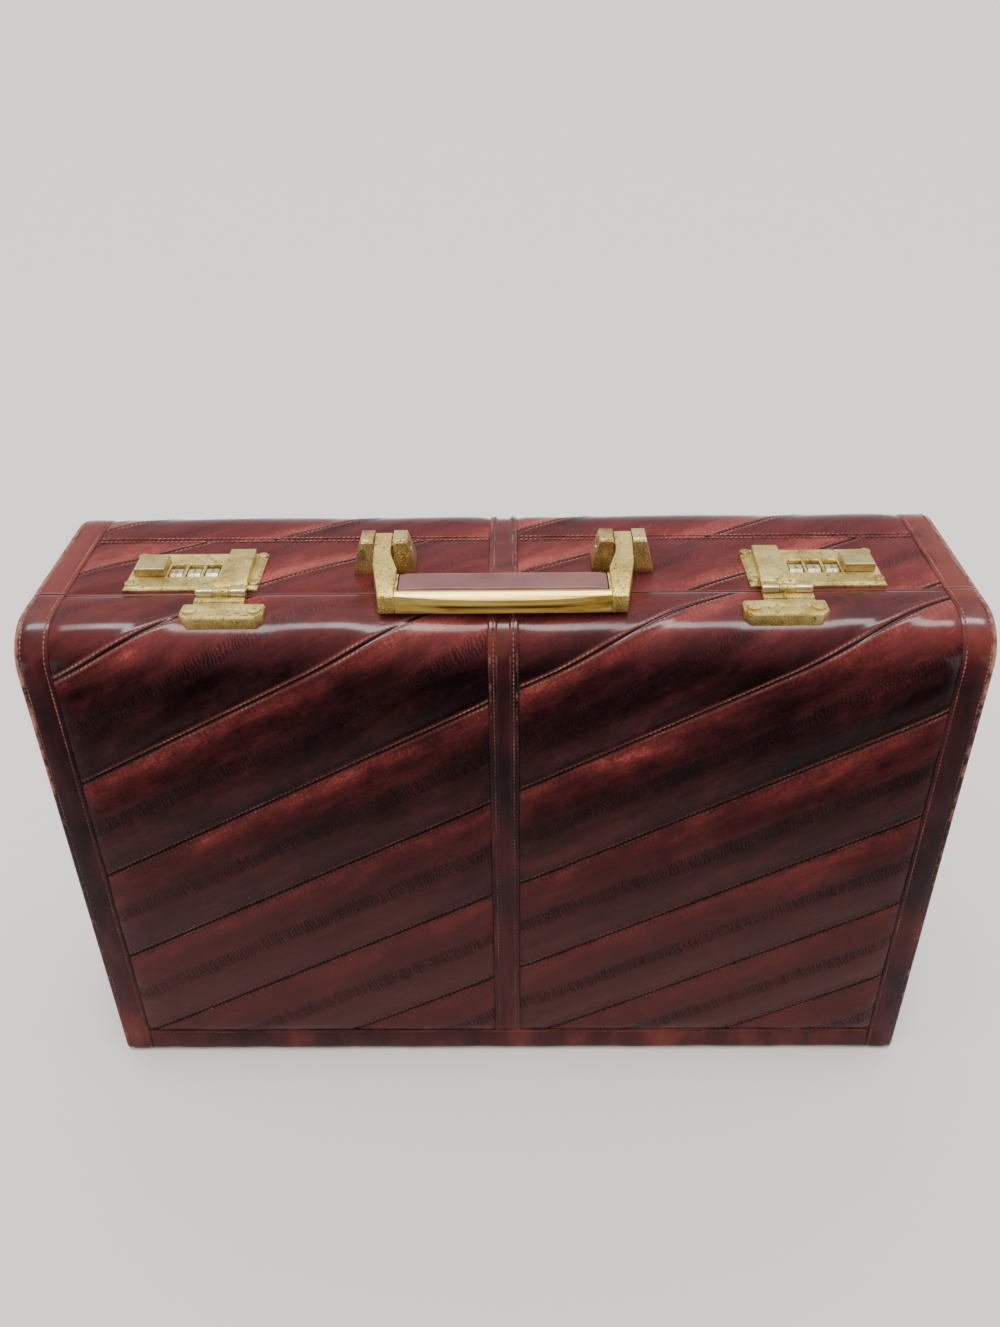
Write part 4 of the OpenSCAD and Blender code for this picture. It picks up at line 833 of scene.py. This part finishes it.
for body, place, depth, top, creases in halves:
    rows = []
    for x, start, lift in ((0.2139, 0.0035, 0.00082), (0.2250, 0.0035, 0.00085), (0.0047, 0.0205, 0.00125)):
        rows += [row(place, trim_height(lift), (hand * x, start), (hand * x, top - 0.002)) for hand in (-1, 1)]
    rows.append(row(place, trim_height(0.00078), (-0.2105, 0.0162), (0.2105, 0.0162)))
    sew(body + "_trim_stitches", body, rows, lean=0.0)


# Lock plates: die-cast brass plates with a bevelled edge and three windows, sunk a little into the skins
# and held by four slotted screws. Years of hands have dulled the plating to a grainy straw colour.
def speckle(name):
    """Old brass plating: its fine pits, its cloudy tarnish and the height that goes with them."""
    group, given, end = new_group(name, ("Tarnish", "Pitting"), ("Pits", "Cloud", "Height"))
    fine = mottle(group, given["Coordinates"], (1500, 1500, 1500), 3, 0.7)
    spots = mottle(group, given["Coordinates"], (420, 420, 420), 4, 0.75)
    cloud = mottle(group, given["Coordinates"], (70, 70, 70), 4, 0.6)
    pits = remap(group, maths(group, "ADD", spots, given["Pitting"]), 0.61, 0.68)
    haze = maths(group, "SUBTRACT", maths(group, "MULTIPLY_ADD", fine, 0.9, cloud), 0.2)
    plug(end, Pits=pits, Cloud=maths(group, "ADD", haze, given["Tarnish"]),
         Height=maths(group, "MULTIPLY_ADD", pits, -1.2, fine))
    return group


brass_speckle = speckle("brass_speckle")


def old_brass(name, tarnish, stops, pit, rough, depth=0.0002, pitting=0.0):
    """Plated brass with the shared speckle, its own colours and its own roughness range."""
    made, tree, surface = new_finish(name, Metallic=0.76)
    wear = use_group(tree, brass_speckle, Tarnish=tarnish, Pitting=pitting)
    plug(surface, Base_Color=tinted(tree, maths(tree, "MULTIPLY", wear["Pits"], 0.8),
                                    tint_ramp(tree, wear["Cloud"], stops), pit),
         Roughness=remap(tree, wear["Cloud"], 0.55, 0.95, *rough))
    roughen(tree, surface, wear["Height"], depth, 0.9)
    return made


straw_brass = old_brass("straw_brass", 0.0, [(0.54, (0.96, 0.80, 0.32)), (0.76, (0.72, 0.54, 0.16)),
                                             (0.98, (0.30, 0.20, 0.055))], (0.15, 0.095, 0.035), (0.30, 0.50), 0.0003,
                        0.025)
for name in ("lock_plate_l", "lock_plate_r"):
    soften(name, straw_brass, 0.0003)

screw_brass = old_brass("screw_brass", 0.02, [(0.54, (0.84, 0.68, 0.30)), (0.76, (0.60, 0.44, 0.15)),
                                              (0.98, (0.26, 0.18, 0.07))], (0.14, 0.10, 0.05), (0.26, 0.42))
soften("lock_screws", screw_brass, 0.0001, 1,
       dome=((0.0003, 0.0002), (0.0006, 0.00014), (0.0006, 0.00005)))


# Lock cases, axles, latch bolts and springs: bent sheet steel, turned bar and coiled wire under the plates.
# They were zinc plated and never touched, so they are grey and clean. A spring rests on the outer end of
# its case.
zinc, tree, surface = new_finish("zinc_plate", Metallic=1.0, Roughness=0.38)
bloom = mottle(tree, own_place(tree), (210, 210, 210), 5, 0.65)
plug(surface, Base_Color=tint_ramp(tree, bloom, [(0.35, (0.42, 0.43, 0.44)), (0.65, (0.62, 0.63, 0.64))]))
roughen(tree, surface, bloom, 0.0001, 0.5)
paint(zinc, "lock_case_l", "lock_case_r", "wheel_axles", "latch_bolt_l", "latch_bolt_r")
for hand in "lr":
    spring = soften("lock_spring_" + hand, zinc, 0.00008, 1)
    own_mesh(spring)


# Number wheels: ten-sided rings turned from brass, nickelled on their faces, each face stamped with a plain
# number that is filled with black. Three turn on each axle.
wheel_metal = old_brass("nickelled_wheel", -0.05, [(0.45, (0.78, 0.70, 0.45)), (0.75, (0.58, 0.48, 0.26)),
                                                   (0.95, (0.36, 0.28, 0.15))], (0.20, 0.15, 0.08), (0.28, 0.45))
ink, tree, surface = new_finish("black_ink", Roughness=0.5)
chips = mottle(tree, own_place(tree), (1800, 1800, 1800), 3)
plug(surface, Base_Color=tint_ramp(tree, chips, [(0.3, (0.012, 0.011, 0.010)), (0.75, (0.07, 0.06, 0.05))]))
WHEEL_RADIUS, STEP = 0.0075, 36       # from the axle to an edge between two faces, and degrees from face to face


def number_ring():
    """The ten numbers of one wheel, standing round the X axis, with 1 on the face towards the front."""
    ring = []
    for number in range(10):
        bpy.ops.object.text_add()
        drawn = bpy.context.object
        drawn.data.body = str(number)
        drawn.data.align_x, drawn.data.align_y = "CENTER", "CENTER"
        drawn.data.size, drawn.data.extrude, drawn.data.resolution_u = 0.0042, 0.00006, 3
        bpy.ops.object.convert(target="MESH")
        drawn = bpy.context.object
        drawn.data.transform(Matrix.Rotation(math.radians(STEP * (2 - number)), 4, "X")
                             @ Matrix.Translation((0, 0, WHEEL_RADIUS * math.cos(math.radians(STEP / 2)))))
        ring.append(drawn)
    bpy.ops.object.select_all(action="DESELECT")
    for drawn in ring:
        drawn.select_set(True)
    bpy.context.view_layer.objects.active = ring[0]
    bpy.ops.object.join()
    return bpy.context.object


pattern = number_ring()
pattern.data.materials.append(ink)
for hand in "lr":
    for place in "123":
        soften("wheel_" + hand + place, wheel_metal, 0.00025, 2)
        (x0, y0, z0), (x1, y1, z1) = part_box("wheel_" + hand + place)
        numbers = bpy.data.objects.new("numbers_" + hand + place, pattern.data.copy())
        numbers.data.transform(Matrix.Translation(((x0 + x1) / 2, (y0 + y1) / 2, (z0 + z1) / 2)))
        bpy.context.collection.objects.link(numbers)
        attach(numbers, "number_wheel_" + hand + place)
bpy.data.objects.remove(pattern)


# Lock buttons: blocks of polished brass with a broad bevel, worn smooth by thumbs. Each is fixed to its
# latch bolt through a slot in the plate.
thumbed_brass = old_brass("thumbed_brass", 0.02, [(0.58, (0.72, 0.55, 0.25)), (0.76, (0.60, 0.44, 0.18)),
                                                  (0.94, (0.38, 0.26, 0.10))], (0.20, 0.13, 0.05), (0.26, 0.40),
                          0.00006)
for name in ("lock_button_l", "lock_button_r"):
    soften(name, thumbed_brass, 0.0011, 3)


# Hasps: cast plates riveted to the lid, and flaps that turn on a pin through three knuckles. The outer
# knuckles have lost their brass and show bright nickel. The rest is as grainy as the lock plates.
bright_nickel = old_brass("bright_nickel", -0.05, [(0.5, (0.92, 0.80, 0.48)), (0.75, (0.76, 0.60, 0.30)),
                                                   (0.95, (0.55, 0.44, 0.26))], (0.3, 0.22, 0.12), (0.14, 0.26),
                          0.00004)
FLAP_X, HALF_MIDDLE = 0.1355, 0.0041                # the flap's middle, and half of its middle knuckle
PIN_Y, PIN_Z, KNUCKLE_RADIUS = PART_Y - 0.0026, 0.2970, 0.00255
for hand, turn in (("l", -1), ("r", 1)):
    for name in ("hasp_plate_", "flap_"):
        cast = soften(name + hand, straw_brass, 0.0004, 2)
        cast.data.materials.append(bright_nickel)
        for face in cast.data.polygons:
            x, y, z = face.center
            if abs(turn * x - FLAP_X) > HALF_MIDDLE and math.hypot(y - PIN_Y, z - PIN_Z) < KNUCKLE_RADIUS:
                face.material_index = 1
soften("hasp_rivets", straw_brass, 0.0002, 2, dome=((0.0006, 0.00022), (0.0008, 0.0001)))
paint(bright_nickel, "hasp_pins")


# Handle mounts: cast brass blocks bolted through the top, slotted for the arms, with dark stains where
# polish was never wiped away. A steel pin crosses each slot, and the bolts are zinc plated.
stained_brass = old_brass("stained_brass", 0.0, [(0.56, (0.90, 0.68, 0.28)), (0.74, (0.70, 0.48, 0.17)),
                                                 (0.90, (0.26, 0.16, 0.06))], (0.08, 0.05, 0.03), (0.18, 0.42))
for name in ("handle_mount_l", "handle_mount_r"):
    soften(name, stained_brass, 0.0005, 3)
paint(bright_nickel, "handle_pins")
paint(zinc, "handle_bolts")


# Handle: two cast arms, pitted and rubbed to pale metal, and a bowed brass bar between them, brushed along
# its length, with a strip of stuffed leather let into its top.
rubbed_brass = old_brass("rubbed_brass", -0.05, [(0.50, (0.92, 0.74, 0.28)), (0.72, (0.82, 0.56, 0.12)),
                                                 (0.95, (0.34, 0.26, 0.12))], (0.06, 0.045, 0.03), (0.20, 0.36),
                         0.0003, 0.02)
for name in ("handle_arm_l", "handle_arm_r"):
    soften(name, rubbed_brass, 0.0008, 3)

brushed, tree, surface = new_finish("brushed_brass", Metallic=0.55, Roughness=0.22)
own = own_place(tree)
drawn_lines = mottle(tree, own, (5, 900, 900), 4, 0.6)
bands = mottle(tree, own, (9, 330, 330), 3, 0.5)
both = maths(tree, "MULTIPLY_ADD", drawn_lines, 0.35, maths(tree, "MULTIPLY", bands, 0.65))
# Painted shade: the bar is darker down its front face and lighter along its top.
front = remap(tree, add(tree, "ShaderNodeSeparateXYZ", _0=own).outputs["Z"], 0.3040, 0.3015, 0.04, -0.06)
both = maths(tree, "ADD", both, front)
plug(surface, Base_Color=tint_ramp(tree, both, [(0.34, (0.13, 0.06, 0.012)), (0.45, (0.60, 0.35, 0.06)),
                                                (0.58, (0.94, 0.72, 0.22))]))
roughen(tree, surface, both, 0.0002, 0.5)
soften("grip_bar", brushed, 0.0005, 3)

pad_leather = old_leather("handle_leather", (0.13, 0.055, 0.060), (0.19, 0.080, 0.082), (0.26, 0.115, 0.105), 0.30)
plug(pad_leather.node_tree.nodes["Principled BSDF"], Coat_Roughness=0.22)
pad_low, pad_high = (Vector(corner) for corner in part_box("grip_pad"))
bpy.ops.mesh.primitive_cube_add(size=2)
pad = bpy.context.object
pad.name = "grip_pad_leather"
edit_whole()
bpy.ops.mesh.subdivide(number_cuts=25)
close_edit()
EDGE, STUFFING, UNEVEN = 0.0008, 0.0013, 0.0001
for vertex in pad.data.vertices:
    u, v, up = vertex.co
    full = (1 - abs(u) ** 40) ** 0.3 * (1 - abs(v) ** 6) ** 0.4
    vertex.co.x = (pad_low.x + pad_high.x) / 2 + (pad_high.x - pad_low.x) / 2 * u
    vertex.co.y = (pad_low.y + pad_high.y) / 2 + (pad_high.y - pad_low.y) / 2 * v
    vertex.co.z = pad_low.z + (up + 1) / 2 * (EDGE + (STUFFING + UNEVEN * math.sin(u * 9)) * full)
bpy.ops.object.shade_smooth_by_angle(angle=math.radians(60))
pad.data.materials.append(pad_leather)
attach(pad, "handle")
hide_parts("grip_pad")


# Hinge: a brass piano hinge, its two leaves rolled from strip round one long pin. It is let into a groove
# under the case, and two rows of screws hold it to the boards.
dull_brass = old_brass("dull_brass", 0.10, [(0.60, (0.56, 0.44, 0.22)), (0.80, (0.36, 0.27, 0.12)),
                                            (0.98, (0.20, 0.14, 0.07))], (0.10, 0.07, 0.04), (0.34, 0.55))
paint(dull_brass, "hinge_leaf_base", "hinge_leaf_lid", "hinge_pin", "hinge_screws_base", "hinge_screws_lid")


# Stays: a pair of stamped brass bars inside each end, riveted together at a knee, that fold flat when the
# case is shut and stop the lid when it is open. Their brackets are screwed to the boards.
paint(straw_brass, "stay_lower_l", "stay_lower_r", "stay_upper_l", "stay_upper_r", "stay_brackets_base",
      "stay_brackets_lid")
